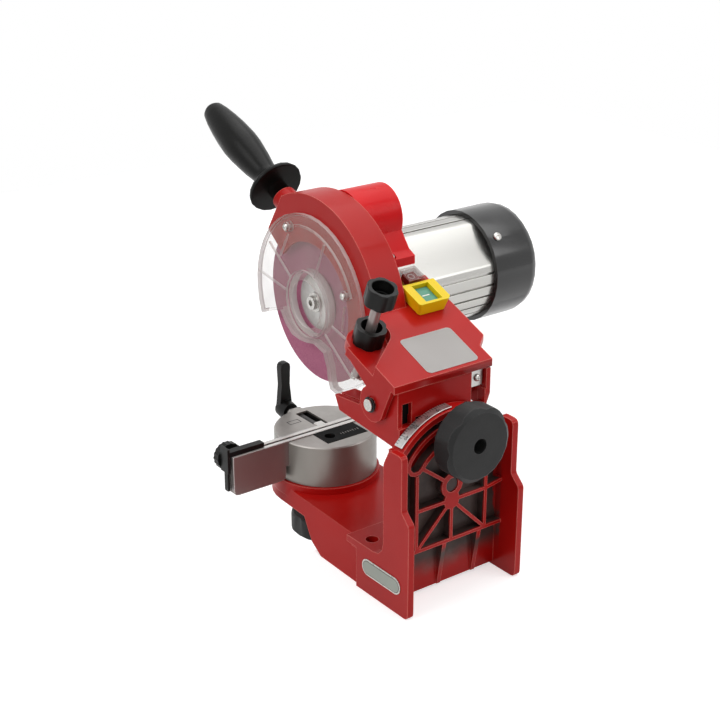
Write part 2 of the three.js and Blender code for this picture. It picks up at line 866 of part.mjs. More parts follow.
function tiltBracket() {
  const tab = gap + keeperThick;
  const body = union([
    slabY(bracketPlateOutline(), bracketBack - bracketThick, bracketBack),
    box(-wallHalf, wallHalf, wallBack - wallThick, wallBack, wallFoot, wallTop),
    box(wallHalf - overrun, armOuter - overrun, wallBack - wallThick, wallBack, windowTop, wallTop),
    box(-bracketHalf - overrun, overrun - wallHalf, farWallBack - wallThick, farWallBack, farWindowTop,
      wallTop),
    box(-wallHalf, wallThick - wallHalf, farWallBack - wallThick, wallBack, wallFoot, wallTop),
    box(-wallHalf, -wallHalf + wallThick, bracketBack - bracketThick, wallBack, bracketTop - overrun,
      wallFoot + tab),
    box(wallHalf - wallThick, wallHalf, bracketBack - bracketThick, wallBack, bracketTop - overrun,
      wallFoot + tab),
    nearArm(),
    cylX(pinBoss, spurInner, armOuter, pinBack, pinHeight),
    box(spurOuter - overrun, armOuter - overrun, pinBack - pinBoss, pinBack + pinBoss,
      bracketFoot + spurDrop, pinHeight),
    spur(),
    farArm(),
    slabX([[bracketBack - bracketThick, bracketFoot + spurDrop / 2], [bracketBack, bracketFoot],
      [bracketBack, farArmFoot + toeRadius], [bracketBack - bracketThick, farArmFoot + toeRadius]],
    -bracketHalf - overrun, -bracketHalf + overrun),
    cylX(pinBoss, -bracketHalf - bracketArm, -bracketHalf, pinBack, pinHeight)]);
  return cut(body, [
    cylX(pinRadius + gap, -bracketHalf - bracketArm - overrun, armOuter + overrun, pinBack, pinHeight),
    cylY(pivotRadius + gap, bracketBack - bracketThick - overrun, bracketBack + overrun, 0, tiltHeight),
    cylY(studRadius + gap, bracketBack - bracketThick - overrun, bracketBack + overrun, 0,
      tiltHeight + slotRadius)]);
}

function headedBolt(headRadius, headThick, shank, from, to) {
  return latheY([
    [0, from - headThick], [headRadius, from - headThick], [headRadius, from], [shank, from],
    [shank, to], [0, to]], 0, 0, 20);
}

function circlip(x) {
  const ring = ringX(clipRadius, pinRadius - clipInset / 4 + gap, x, x + clipThick, pinBack, pinHeight, 18);
  return cut(ring, [box(x - overrun, x + clipThick + overrun, pinBack - overrun, pinBack + overrun,
    pinHeight + overrun, pinHeight + clipRadius + overrun)]);
}

// Torsion spring: one helix round the hinge pin with a straight leg at each end.
function springPath() {
  const points = [];
  const turn = 8;
  const length = springTurns * turn;
  points.push([springStart, pinBack + springRadius, pinHeight - springLeg]);
  for (let k = 0; k <= length; k += 1) {
    const angle = (2 * Math.PI * k) / turn;
    points.push([springStart + (springPitch * k) / turn,
      pinBack + springRadius * Math.cos(angle), pinHeight + springRadius * Math.sin(angle)]);
  }
  points.push([springStart + springPitch * springTurns, pinBack + springRadius, pinHeight + springLeg]);
  return points.map((point) => new THREE.Vector3(...point));
}

class Polyline extends THREE.Curve {
  constructor(points) {
    super();
    this.points = points;
  }

  getPoint(t, target = new THREE.Vector3()) {
    const at = t * (this.points.length - 1);
    const low = Math.min(Math.floor(at), this.points.length - 2);
    return target.copy(this.points[low]).lerp(this.points[low + 1], at - low);
  }

  getPointAt(t, target) {
    return this.getPoint(t, target);
  }
}

function tube(points, radius, sides) {
  const section = new THREE.Shape(arc(0, 0, radius, 0, 360 - 360 / sides, sides - 1)
    .map(([a, b]) => new THREE.Vector2(a, b)));
  return solid(new THREE.ExtrudeGeometry(section, {
    steps: points.length - 1, extrudePath: new Polyline(points), curveSegments: 1 }));
}

function selfGap(points, radius, skip) {
  let least = Infinity;
  points.forEach((a, i) => points.forEach((b, j) => {
    if (j - i > skip) least = Math.min(least, a.distanceTo(b) - 2 * radius);
  }));
  return least;
}

const springLine = springPath();
console.log("return spring least self gap", selfGap(springLine, springWire, 5).toFixed(2));

function springKeeper() {
  const mid = (-bracketHalf - wallHalf) / 2;
  const plate = box(mid - keeperHalf, mid + keeperHalf, farWallBack + gap, farWallBack + gap + keeperThick,
    wallTop - keeperHeight, wallTop);
  return cut(plate, [cylY(screwShank + gap, farWallBack - overrun, farWallBack + keeperThick + overrun,
    mid, wallTop - keeperHeight / 2, 12)]);
}

// A small dome-headed screw along local +Z, its underside at zero.
function smallScrew(head, thick, shank, length) {
  const body = latheZ([
    [0, -length], [shank, -length], [shank, 0], [head, 0], [head * 0.9, thick * 0.6], [head / 2, thick],
    [0, thick]], 0, 0, 14);
  return cut(body, [
    box(-head * 0.6, head * 0.6, -driveSlot / 2, driveSlot / 2, thick / 2, thick + overrun),
    box(-driveSlot / 2, driveSlot / 2, -head * 0.6, head * 0.6, thick / 2, thick + overrun)]);
}

const bracket = new THREE.Group();
machine.add(bracket);
add(bracket, "tilt_bracket", tiltBracket(), redPaint());

const pivot = new THREE.Group();
pivot.position.z = tiltHeight;
add(pivot, "tilt_pivot_bolt", headedBolt(pivotHead, pivotHeadThick, pivotRadius,
  bracketBack - bracketThick - gap, ribBack - overrun), steel());
bracket.add(pivot);

const clampStud = new THREE.Group();
clampStud.position.z = tiltHeight + slotRadius;
add(clampStud, "tilt_clamp_stud", headedBolt(pivotHead, pivotHeadThick, studRadius,
  bracketBack - bracketThick - gap, ribBack + knobStandOff + knobThick / 2), steel());
add(clampStud, "tilt_clamp_washer", latheY([
  [studRadius + gap, ribBack + gap], [washerRadius, ribBack + gap],
    [washerRadius, ribBack + gap + washerThick],
  [studRadius + gap, ribBack + gap + washerThick], [studRadius + gap, ribBack + gap]], 0, 0, 24), steel());
bracket.add(clampStud);

const tiltKnob = new THREE.Group();
tiltKnob.position.set(0, ribBack + gap + washerThick + gap, tiltHeight + slotRadius);
tiltKnob.rotation.x = -Math.PI / 2;
add(tiltKnob, "tilt_clamp_knob", clampKnob(studRadius + gap, knobStandOff), greyPlastic());
bracket.add(tiltKnob);

add(bracket, "hinge_pin", cut(cylX(pinRadius, -pinHalfSpan, pinHalfSpan, pinBack, pinHeight, 18), [
  ringX(pinRadius + overrun, pinRadius - clipInset / 4, pinHalfSpan - clipInset - clipThick - gap,
    pinHalfSpan - clipInset + gap, pinBack, pinHeight, 18),
  ringX(pinRadius + overrun, pinRadius - clipInset / 4, clipInset - pinHalfSpan - gap,
    clipInset - pinHalfSpan + clipThick + gap, pinBack, pinHeight, 18)]), steel());
add(bracket, "hinge_circlip_near", circlip(pinHalfSpan - clipInset - clipThick), blackPlastic());
add(bracket, "hinge_circlip_far", circlip(clipInset - pinHalfSpan), blackPlastic());
add(bracket, "return_spring", tube(springLine, springWire, 5), steel());
add(bracket, "keeper_plate", springKeeper(), zinc());

const keeperScrew = new THREE.Group();
keeperScrew.position.set((-bracketHalf - wallHalf) / 2, farWallBack + 2 * gap + keeperThick,
  wallTop - keeperHeight / 2);
keeperScrew.rotation.x = -Math.PI / 2;
add(keeperScrew, "keeper_screw", smallScrew(screwHead, screwHeadThick, screwShank, keeperThick), steel());
bracket.add(keeperScrew);

// Head: everything below is drawn from the wheel centre
const head = new THREE.Group();
head.position.set(0, wheelY, wheelHeight);
machine.add(head);

const slope = Math.tan(rad(plateSlope));
const pinY = pinBack + wheelBack;
const pinZ = pinHeight - wheelHeight;
const plateZ = (y, drop = 0) => plateBackHeight + (plateBack - y) * slope - drop / Math.cos(rad(plateSlope));
const chamferLow = [chamferLowRadius * Math.cos(rad(chamferLowAngle)),
  chamferLowRadius * Math.sin(rad(chamferLowAngle))];
const rimEndAngle = 12;

// The housing outline: rim arc, handle chamfer, then the edge that runs in towards the hub.
function housingOutline(inset, edgeIn) {
  const r = rimRadius - inset;
  return [
    ...arc(0, 0, r, rimEndAngle - inset / 4, chamferHighAngle - inset / 2, 26),
    [chamferLow[0] + inset * 1.2, chamferLow[1] - inset / 4],
    ...edgeIn];
}

function backEdge(inset) {
  return [
    ...arc(0, 0, shieldRadius - inset, 150, 235, 8),
    [backHeel, backFoot], [backToe, backFoot], [rimRadius, boxFloor],
      [rimRadius, plateZ(rimRadius, plateThick)]];
}

function faceEdge() {
  return [
    ...arc(0, 0, mouthRadius, chamferLowAngle, -22, 20),
    [lugFront - lugThick, -earRadius], [plateBack - wheelRadius, plateZ(rimRadius, plateThick)]];
}

function wheelHousing() {
  const outer = housingOutline(0, backEdge(0));
  const inner = housingOutline(rimWall, arc(0, 0, rimRadius - rimWall, 150, 360, 24));
  const shell = cut(slabX(outer, rimBack, rimFront - facePlate + overrun),
    [slabX(inner, rimBack + backPlate, rimFront)]);
  const well = slabX(inner, rimBack + backPlate, rimFront - facePlate);
  const face = slabX(housingOutline(0, faceEdge()), rimFront - facePlate, rimFront);
  return { shell, well, face };
}

// The notch that holds the depth screw, in the plane of the top plate with the screw at zero.
function notchLine(wall) {
  const r = notchRadius + wall;
  const near = plateHalf - screwAcross;
  const turn = 90 + notchAngle;
  const rise = (near - r * Math.cos(rad(turn))) * Math.tan(rad(notchAngle));
  return [...arc(0, 0, r, 180, turn, 5), [near, r * Math.sin(rad(turn)) + rise]];
}

function notchCut() {
  const line = notchLine(0);
  const [near, far] = line[line.length - 1];
  const beyond = near + overrun;
  const outline = [[-notchRadius, -notchFront], ...line, [beyond, far + overrun * Math.tan(rad(notchAngle))],
    [beyond, -notchFront]];
  return aboutScrew(slabZ(outline.reverse(), -lugFloorDrop, wheelRadius));
}

function lug() {
  const line = notchLine(rimWall);
  const [near] = line[line.length - 1];
  const root = rimFront - facePlate - screwAcross;
  const outline = [[root, -notchRadius], [root, 0], ...line, [near, 0],
    ...arc(0, 0, notchRadius, 0, -90, 6)];
  return aboutScrew(slabZ(outline.reverse(), -lugFloorDrop - lugThick, -overrun));
}

// The top plate's outline from above, notched by the lug.
function plateTop() {
  const foot = plateBack;
  return slabZ([
    [plateHalf, foot], [-plateHalf, foot], [-plateHalf, plateNotchBack], [-plateFar, plateFarBack],
    [-plateFar, boxFront], [rimBack, boxFront], [rimFront, boxFront], [rimFront, rimRadius],
    [plateHalf, rimRadius]].reverse(), -wheelRadius, wheelRadius);
}

// Everything between the top plane of the head and the same plane lowered by depth.
function slopeSlab(top, depth, y0, y1, x0, x1) {
  return slabX([
    [y0, plateZ(y0, top + depth)], [y1, plateZ(y1, top + depth)], [y1, plateZ(y1, top)],
      [y0, plateZ(y0, top)]], x0, x1);
}

const screwY = screwAlong;

// A body drawn upright about the depth screw, then leaned to stand square to the plate.
function aboutScrew(body) {
  const lean = new THREE.Matrix4().makeRotationX(-rad(plateSlope));
  const seat = new THREE.Matrix4().makeTranslation(screwAcross, screwY, plateZ(screwY));
  return placed(body, seat.multiply(lean));
}

function sideWall(x0, x1, rear) {
  return slabX([
    [lugFront, plateZ(lugFront, lugFloorDrop + lugThick)],
    ...arc(pinY, pinZ, earRadius, earLead, 350, 12),
    [rear, plateZ(rear, lipDrop)], [plateBack, plateZ(plateBack, lipDrop)], [plateBack, plateZ(plateBack)],
    [lugFront, plateZ(lugFront)]], x0, x1);
}

function headCasting() {
  const { shell, well, face } = wheelHousing();
  const top = slopeSlab(0, plateThick, boxFront, plateBack, -plateFar, plateHalf).intersect(plateTop());
  const sideLow = [[boxFront, boxFloor], [boxBack, boxFloor + boxRise],
    [boxBack, plateZ(boxBack, plateThick - overrun)], [boxFront, plateZ(boxFront, plateThick - overrun)]];
  let body = union([
    shell,
    face,
    top,
    slopeSlab(0, lipDrop, plateBack - lipThick, plateBack, -plateHalf, plateHalf),
    sideWall(plateHalf - earThick, plateHalf, plateBack - lipThick),
    sideWall(-farEarOuter, farEarThick - farEarOuter, plateBack - lipThick - farEarThick),
    lug(),
    slabX(sideLow, -plateFar, boxWall - plateFar),
    slabX(sideLow, rimFront - boxWall, rimFront),
    slabX([[boxFront, boxFloor], [boxFront + boxWall, boxFloor],
      [boxFront + boxWall, plateZ(boxFront + boxWall)],
      [boxFront, plateZ(boxFront)]], -plateFar, rimFront),
    slabX([[boxBack - boxWall, boxFloor + boxRise], [boxBack, boxFloor + boxRise],
      [boxBack, plateZ(boxBack, overrun)], [boxBack - boxWall, plateZ(boxBack - boxWall, overrun)]],
    -plateFar, rimFront)]);
  body = cut(body, [well]);
  body = union([body, face, handleSocket(), guardFootTab()]);
  return cut(body, [
    notchCut(),
    cylX(shaftHole, rimBack - overrun, rimFront + overrun, 0, 0),
    cylX(pinRadius + gap, -plateHalf - overrun, plateHalf + overrun, pinY, pinZ),
    aboutScrew(cylZ(screwRadius + gap, screwBottom - overrun, overrun, 0, 0)),
    alongHandle(cylZ(handleStud + gap, -handleBossLength, handleBossLength + overrun, 0, 0, 16)),
    switchPocket(),
    ...guardScrewPlaces().map(([y, z]) => cylX(screwShank + gap, rimFront - boxWall - overrun,
      rimFront + overrun, y, z, 8))]);
}

// The tab under the head's side that takes the guard's foot screw
function guardFootTab() {
  const [y, z] = guardScrewPlaces()[guardPostRadii.length - 1];
  return union([
    cylX(guardTab, rimFront - boxWall, rimFront, y, z, 20),
    box(rimFront - boxWall, rimFront, y - guardTab, y + guardTab, z, boxFloor + overrun)]);
}

// Handle
const handleTurn = new THREE.Matrix4().makeRotationX(rad(90 - handleAngle));
const handleSeat = new THREE.Matrix4().makeTranslation(handleX, handleAcross, handleUp);

function alongHandle(body) {
  return placed(body, handleSeat.clone().multiply(handleTurn));
}

function handleSocket() {
  return alongHandle(latheZ([[0, -rimWall], [handleBoss + overrun, -rimWall], [handleBoss, handleBossLength],
    [0, handleBossLength]], 0, 0));
}

function handleGrip() {
  const end = gripStart + gripLength;
  const half = gripDiscThick / 2;
  const profile = gripProfileShares.map(([along, share]) => [gripBelly * share,
    gripStart + gripLength * along]);
  return alongHandle(latheZ([
    [gripBore, gripStart + gap], [gripNeck, gripStart + gap], [gripNeck, gripDiscAt - half],
    [gripDisc - overrun, gripDiscAt - half], [gripDisc, gripDiscAt],
      [gripDisc - overrun, gripDiscAt + half], ...profile,
    [0, end], [0, gripStart + handleStudLength + gap], [gripBore, gripStart + handleStudLength + gap],
    [gripBore, gripStart + gap]], 0, 0, 20));
}

// Clear guard
function guardScrewPlaces() {
  return guardPostRadii.map((r, k) => [r * Math.cos(rad(guardPostAngles[k])),
    r * Math.sin(rad(guardPostAngles[k]))]);
}

function guardOutline() {
  const steps = guardBandShares.length - 1;
  const band = guardBandShares.map((share, k) => {
    const angle = rad(guardSkirtEnd + ((guardBandEnd - guardSkirtEnd) * k) / steps);
    return [guardRadius * share * Math.cos(angle), guardRadius * share * Math.sin(angle)];
  });
  const tail = guardTailShares.map(([y, z]) => [guardRadius * y, guardRadius * z]);
  return [...arc(0, 0, guardRadius, guardFrom, guardTo, 24), ...band, ...tail];
}

// A straight rib on the guard's face between two points given as shares of its radius.
function guardFaceRib([from, to]) {
  const a = new THREE.Vector2(...from).multiplyScalar(guardRadius);
  const b = new THREE.Vector2(...to).multiplyScalar(guardRadius);
  const side = b.clone().sub(a).normalize().rotateAround(new THREE.Vector2(),
    Math.PI / 2).multiplyScalar(guardRib / 2);
  const corners = [a.clone().sub(side), b.clone().sub(side), b.clone().add(side), a.clone().add(side)];
  return slabX(corners.map(({ x, y }) => [x, y]), guardFace + guardSheet / 2,
    guardFace + guardSheet + guardRib);
}

function wheelGuard() {
  const outer = guardOutline();
  const face = guardFace + guardSheet;
  const shell = slabX(outer, guardApronBack, face);
  const well = slabX(insetOutline(outer, guardRim), guardApronBack - overrun, guardFace);
  const seat = slabX([[0, 0], ...arc(0, 0, guardRadius + guardTube, guardSeatFrom, guardSeatTo, 8)],
    guardApronBack - overrun, guardBack);
  const tube = cylX(guardTube, guardApronBack, guardTubeFront, 0, 0, 28);
  const arcRib = slabX([...arc(0, 0, guardArcRib + guardRib, guardArcFrom, guardArcTo, 10),
    ...arc(0, 0, guardArcRib, guardArcTo, guardArcFrom, 10)], guardFace + guardSheet / 2, face + guardRib);
  const posts = guardScrewPlaces();
  const body = union([cut(shell, [well, seat]), tube, arcRib, ...guardRibShares.map(guardFaceRib),
    ...posts.map(([y, z]) => cylX(guardPost, guardBack, guardPostFront, y, z, 12))]);
  return cut(body, [
    cylX(guardTube - guardSheet, guardApronBack - overrun, guardTubeFront - guardSheet, 0, 0, 28),
    cylX(guardEye, guardApronBack - overrun, guardTubeFront + overrun, 0, 0, 28),
    ...posts.map(([y, z]) => cylX(screwShank + gap, guardBack - overrun, guardPostFront + overrun, y, z,
      8))]);
}

// Switch, drawn flat and leaned onto the plate
function onPlate(body, x, y, lift) {
  const lean = new THREE.Matrix4().makeRotationX(-rad(plateSlope));
  const up = new THREE.Matrix4().makeTranslation(0, 0, lift);
  const seat = new THREE.Matrix4().makeTranslation(x, y, plateZ(y));
  return placed(body, seat.multiply(lean).multiply(up));
}

function switchPocket() {
  return onPlate(box(-pocketHalf, pocketHalf, pocketFar, pocketNear, -pocketDepth, trayFloor), switchX,
    switchAlong, 0);
}

// The yellow tray: flared walls round the start button and a low tongue that carries the stop button.
function switchBezel() {
  const outline = (half) => [
    [-half, trayFar], [half, trayFar], [half, trayNear - trayChamfer], [half - trayChamfer, trayNear],
    [2 * trayChamfer - half, trayNear], [-half, trayNear - 2 * trayChamfer]];
  const body = union([loft(outline(trayFoot), outline(trayRim), 0, trayHeight),
    box(-tongueHalf, tongueHalf, tongueFar, trayFar + overrun, 0, tongueHeight)]);
  return cut(body, [
    box(-onHalfX - sideGap, onHalfX + sideGap, onAt - onHalfY - sideGap, onAt + onHalfY + sideGap, trayFloor,
      trayHeight + overrun),
    box(-offHalfX - sideGap, offHalfX + sideGap, offAt - offHalfY - sideGap, offAt + offHalfY + sideGap,
      trayFloor,
      trayHeight),
    ...[onAt, offAt].map((y) => cylZ(buttonStem + gap, -overrun, trayFloor + overrun, 0, y, 12))]);
}

function button(halfX, halfY, y, top) {
  return union([
    box(-halfX, halfX, y - halfY, y + halfY, trayFloor + buttonTravel + gap, top),
    cylZ(buttonStem, -buttonStem, trayFloor + buttonTravel + overrun, 0, y, 12)]);
}

// The clear flap is a lidded box over the stop button, hinged at its upper edge.
function switchFlap() {
  const low = tongueHeight + gap;
  const near = trayFar - gap;
  const outer = box(-tongueHalf, tongueHalf, tongueFar, near, low, flapTop);
  const inner = box(flapSheet - tongueHalf, tongueHalf - flapSheet, tongueFar + flapSheet, near - flapSheet,
    low - overrun, flapTop - flapSheet);
  return cut(outer, [inner]);
}

function motorHousing() {
  const outline = [];
  const panelFrom = motorPanelAngle - motorPanelHalf;
  const panelTo = motorPanelAngle + motorPanelHalf;
  const grooves = Math.floor((180 - 2 * motorPanelHalf) / finPitch);
  const half = (angle0) => {
    for (let k = 0; k <= grooves; k += 1) {
      const mid = angle0 + k * finPitch;
      if (k > 0) {
        outline.push(...arc(0, 0, motorRadius, mid - finHalfAngle, mid - finHalfAngle, 1).slice(1));
        outline.push(...arc(0, 0, motorRadius - finDepth, mid - finHalfAngle, mid + finHalfAngle, 1));
      }
      outline.push(...arc(0, 0, motorRadius, mid + (k > 0 ? finHalfAngle : 0), mid + finPitch / 2, 1));
    }
  };
  half(panelTo);
  outline.push(...arc(0, 0, motorRadius, panelFrom + 180, panelFrom + 180, 1).slice(1));
  half(panelTo + 180);
  outline.push(...arc(0, 0, motorRadius, panelFrom, panelFrom, 1).slice(1));
  const body = slabX(outline, motorBack, motorFront - shieldThick - gap);
  return cut(body, [cylX(motorBore, motorBack - overrun, motorFront + overrun, 0, 0, 40)]);
}

function motorShield(front, thick, bearingX, outerR) {
  const bearingFront = bearingX + bearingWidth;
  const body = union([
    cylX(outerR, front - thick, front, 0, 0, 32),
    cylX(bearingRadius + bearingWeb, Math.min(front - thick, bearingX), Math.max(front, bearingFront), 0,
      0, 28)]);
  return cut(body, [
    cylX(bearingRadius + gap, bearingX - overrun, bearingFront + gap, 0, 0, 28),
    cylX(journalRadius + 2 * overrun, Math.min(front - thick, bearingX) - overrun,
      Math.max(front, bearingFront) + overrun,
      0, 0, 24)]);
}

function bearing(x) {
  return ringX(bearingRadius, journalRadius + gap / 2, x, x + bearingWidth, 0, 0, 20);
}

// Rear shield: a web across the bore that holds the second bearing
function rearShield() {
  const front = rearBearing + bearingWidth + bearingWeb;
  const body = union([
    cylX(motorBore - statorClear, rearBearing + bearingWidth, front, 0, 0, 24),
    cylX(bearingRadius + bearingWeb, rearBearing, front, 0, 0, 20)]);
  const slots = [0, 60, 120, 180, 240, 300].map((angle) => cylX(bearingWeb, rearBearing, front + overrun,
    (motorBore + bearingRadius) / 2 * Math.cos(rad(angle)),
      (motorBore + bearingRadius) / 2 * Math.sin(rad(angle)), 6));
  return cut(body, [
    cylX(bearingRadius + gap, rearBearing - overrun, rearBearing + bearingWidth + gap, 0, 0, 28),
    cylX(journalRadius + 2 * overrun, rearBearing, front + overrun, 0, 0, 24),
    ...slots]);
}

function endCap() {
  const inner = capRadius - capWall;
  const outerProfile = [[motorRadius + 2 * gap, capFront], [capRadius, capFront],
    [capRadius, capEnd + capRound]];
  for (let k = 1; k <= 3; k += 1) {
    const angle = rad(30 * k);
    outerProfile.push([capRadius - capRound + capRound * Math.cos(angle),
      capEnd + capRound - capRound * Math.sin(angle)]);
  }
  outerProfile.push([0, capEnd], [0, capEnd + capWall], [capRadius - capRound, capEnd + capWall]);
  for (let k = 2; k >= 0; k -= 1) {
    const angle = rad(30 * k);
    const r = capRound - capWall;
    outerProfile.push([capRadius - capRound + r * Math.cos(angle), capEnd + capRound - r * Math.sin(angle)]);
  }
  outerProfile.push([inner, motorBack - overrun], [motorRadius + 2 * gap, motorBack - overrun],
    [motorRadius + 2 * gap, capFront]);
  const vents = Array.from({ length: capVents }, (_, k) => {
    const geometry = new THREE.BoxGeometry(capWall * 4, capVentLength, 2 * capVentHalf);
    geometry.translate(capEnd, capVentRadius, 0);
    geometry.rotateX((2 * Math.PI * k) / capVents);
    return solid(geometry);
  });
  const screwAngle = rad(motorPanelAngle);
  return cut(latheX(outerProfile.reverse(), 0, 0, 30), [...vents,
    radialHole(capFront - capWall * 4, screwAngle)]);
}

function radialHole(x, angle) {
  const geometry = new THREE.CylinderGeometry(screwShank + gap, screwShank + gap, capWall * 12, 12);
  geometry.translate(0, capRadius, 0);
  geometry.rotateX(angle);
  geometry.translate(x, 0, 0);
  return solid(geometry);
}

function coolingFan() {
  const blades = Array.from({ length: fanBlades }, (_, k) => {
    const geometry = new THREE.BoxGeometry(fanFront - fanBack - fanDisc, fanRadius - fanHub + overrun,
      fanBladeThick);
    geometry.translate((fanFront + fanBack - fanDisc) / 2, (fanRadius + fanHub - overrun) / 2, 0);
    geometry.rotateX((2 * Math.PI * k) / fanBlades);
    return solid(geometry);
  });
  return union([
    ringX(fanHub, shaftRadius + gap, fanBack, fanFront, 0, 0, 20),
    ringX(fanRadius, shaftRadius + gap, fanFront - fanDisc, fanFront, 0, 0, 20),
    ...blades.map((blade) => cut(blade, [cylX(fanHub - overrun, fanBack - overrun, fanFront + overrun, 0,
      0, 16)]))]);
}

const innerFlangeBack = -wheelThick / 2 - gap - flangeDisc;

function rotorShaft() {
  const wheelEnd = wheelThick / 2 + gap + flangeDisc - overrun;
  return latheX([
    [0, fanBack - 2 * overrun], [shaftRadius, fanBack - 2 * overrun], [shaftRadius, rearBearing - overrun],
    [journalRadius, rearBearing - overrun], [journalRadius, statorBack], [rotorRadius, statorBack],
    [rotorRadius, statorFront], [journalRadius, statorFront], [journalRadius, innerFlangeBack - gap],
    [shaftRadius, innerFlangeBack - gap], [shaftRadius, wheelEnd], [arborThread, wheelEnd],
    [arborThread, wheelEnd - 2 * flangeDisc], [0, wheelEnd - 2 * flangeDisc]], 0, 0, 16);
}

function stator() {
  return ringX(motorBore - statorClear, statorInner, statorBack, statorFront, 0, 0, 24);
}

function innerFlange() {
  const front = -wheelThick / 2 - gap;
  return latheX([
    [shaftRadius + gap, innerFlangeBack], [flangeRadius / 2, innerFlangeBack],
      [flangeRadius, front - flangeDisc / 2],
    [flangeRadius, front], [flangeRadius - 2 * rimWall, front],
      [flangeRadius - 2 * rimWall, front - flangeRelief],
    [wheelBore - gap, front - flangeRelief], [wheelBore - gap, wheelThick / 2 - gap],
    [shaftRadius + gap, wheelThick / 2 - gap], [shaftRadius + gap, innerFlangeBack]], 0, 0, 20);
}

function outerFlange() {
  const back = wheelThick / 2 + gap;
  return latheX([
    [shaftRadius + gap, back], [flangeRadius, back], [flangeRadius, back + flangeDisc / 2],
    [flangeRadius * 0.8, back + flangeDisc], [shaftRadius + gap, back + flangeDisc],
      [shaftRadius + gap, back]], 0, 0, 36);
}

function arborScrew() {
  const back = wheelThick / 2 + 2 * gap + flangeDisc;
  const body = latheX([
    [0, back - 1.5 * flangeDisc], [arborThread - gap, back - 1.5 * flangeDisc], [arborThread - gap, back],
    [arborHead + 3 * overrun, back], [arborHead + 3 * overrun, back + overrun], [arborHead, back + overrun],
    [arborHead, back + arborHeadThick], [0, back + arborHeadThick]], 0, 0, 20);
  return cut(body, [cylX(arborSocket, back + overrun, back + arborHeadThick + overrun, 0, 0, 6)]);
}

function grindingWheel() {
  return ringX(wheelRadius, wheelBore, -wheelThick / 2, wheelThick / 2, 0, 0, 56);
}

// Capacitor cover over the motor, open at the wheel end and below
function coverOutline(inset) {
  const from = -20;
  return [
    ...arc(coverAcross, coverUp, coverRadius - inset, from, 190, 20),
    [coverAcross - coverRadius + inset, motorRadius * 0.8],
      [coverFootOut - rimWall * 2, coverFootLow - overrun],
    [coverFootOut - inset * 2, coverFootLow - overrun], [coverFootOut - inset * 2, coverFootTop - inset],
    [coverFootOut - rimWall * 2 - inset, coverFootTop + rimWall - inset]];
}

// A body drawn upright at the motor's axis, then leaned to point out through the middle of its flat panel.
function alongPanel(body) {
  return placed(body, new THREE.Matrix4().makeRotationX(rad(motorPanelAngle) - Math.PI / 2));
}

function capacitorCover() {
  const outer = slabX(coverOutline(0), coverBack, coverFront);
  const inner = slabX(coverOutline(coverWall), coverBack + coverWall, coverFront + overrun);
  const beyond = capRadius + coverRadius;
  const post = alongPanel(cylZ(coverScrewBoss, motorRadius, beyond, coverScrewX, 0, 16)).intersect(outer);
  return cut(union([cut(outer, [inner]), post]), [
    cylX(motorRadius + gap, coverBack - overrun, coverFront + overrun, 0, 0, 28),
    cylX(shieldRadius + gap, motorFront - shieldThick - gap, coverFront + overrun, 0, 0, 28),
    alongPanel(cylZ(coverScrewRecess, coverScrewSeat, beyond + overrun, coverScrewX, 0, 14)),
    alongPanel(cylZ(screwShank + gap, motorRadius - overrun, coverScrewSeat + overrun, coverScrewX, 0,
      10))]);
}

// Depth stop
function cupKnob(bore) {
  const steps = cupLobes * 6;
  const outline = [];
  for (let k = 0; k < steps; k += 1) {
    const angle = (2 * Math.PI * k) / steps;
    const dip = Math.max(0, -Math.cos(angle * cupLobes)) * cupScoopDepth;
    outline.push([(cupRadius - dip) * Math.cos(angle), (cupRadius - dip) * Math.sin(angle)]);
  }
  return cut(slabZ(outline, 0, cupHeight), [
    cylZ(cupBore, cupFloor, cupHeight + overrun, 0, 0),
    cylZ(bore, -overrun, cupFloor + overrun, 0, 0, 16)]);
}

add(head, "head_casting", headCasting(), redPaint());
add(head, "capacitor_cover", capacitorCover(), redPlastic());
add(head, "run_capacitor", cylX(canRadius, coverBack + 3 * coverWall, coverBack + 3 * coverWall + canLength,
  coverAcross, coverUp + coverWall, 24), zinc());
add(head, "motor_front_shield", motorShield(motorFront, shieldThick, frontBearing, shieldRadius),
  aluminium());
add(head, "motor_housing", motorHousing(), aluminium());
add(head, "stator_core", stator(), copper());
add(head, "front_bearing", bearing(frontBearing), steel());
add(head, "motor_rear_shield", rearShield(), aluminium());
add(head, "rear_bearing", bearing(rearBearing), steel());
add(head, "motor_end_cap", endCap(), blackPlastic());

const capScrew = new THREE.Group();
capScrew.rotation.x = rad(motorPanelAngle) - Math.PI / 2;
const capScrewMesh = new THREE.Group();
capScrewMesh.position.set(capFront - capWall * 4, 0, capRadius + gap);
add(capScrewMesh, "end_cap_screw", smallScrew(screwHead + overrun, screwHeadThick, screwShank,
  capWall * 2), steel());
capScrew.add(capScrewMesh);
head.add(capScrew);

const coverScrew = new THREE.Group();
coverScrew.rotation.x = rad(motorPanelAngle) - Math.PI / 2;
const coverScrewMesh = new THREE.Group();
coverScrewMesh.position.set(coverScrewX, 0, coverScrewSeat + gap);
add(coverScrewMesh, "cover_screw", smallScrew(screwHead, screwHeadThick, screwShank, coverScrewLength),
  steel());
coverScrew.add(coverScrewMesh);
head.add(coverScrew);

add(head, "handle_stud", alongHandle(cylZ(handleStud, -handleBossLength + gap,
  gripStart + handleStudLength, 0, 0, 16)), steel());
add(head, "handle_grip", handleGrip(), grip());
add(head, "wheel_guard", wheelGuard(), clear());
guardScrewPlaces().forEach(([y, z], k) => {
  const group = new THREE.Group();
  group.position.set(guardPostFront + gap, y, z);
  group.rotation.y = Math.PI / 2;
  add(group, ["guard_screw_upper", "guard_screw_rear", "guard_screw_foot"][k],
    smallScrew(screwHead, screwHeadThick, screwShank, guardPostFront - rimFront + facePlate), steel());
  head.add(group);
});

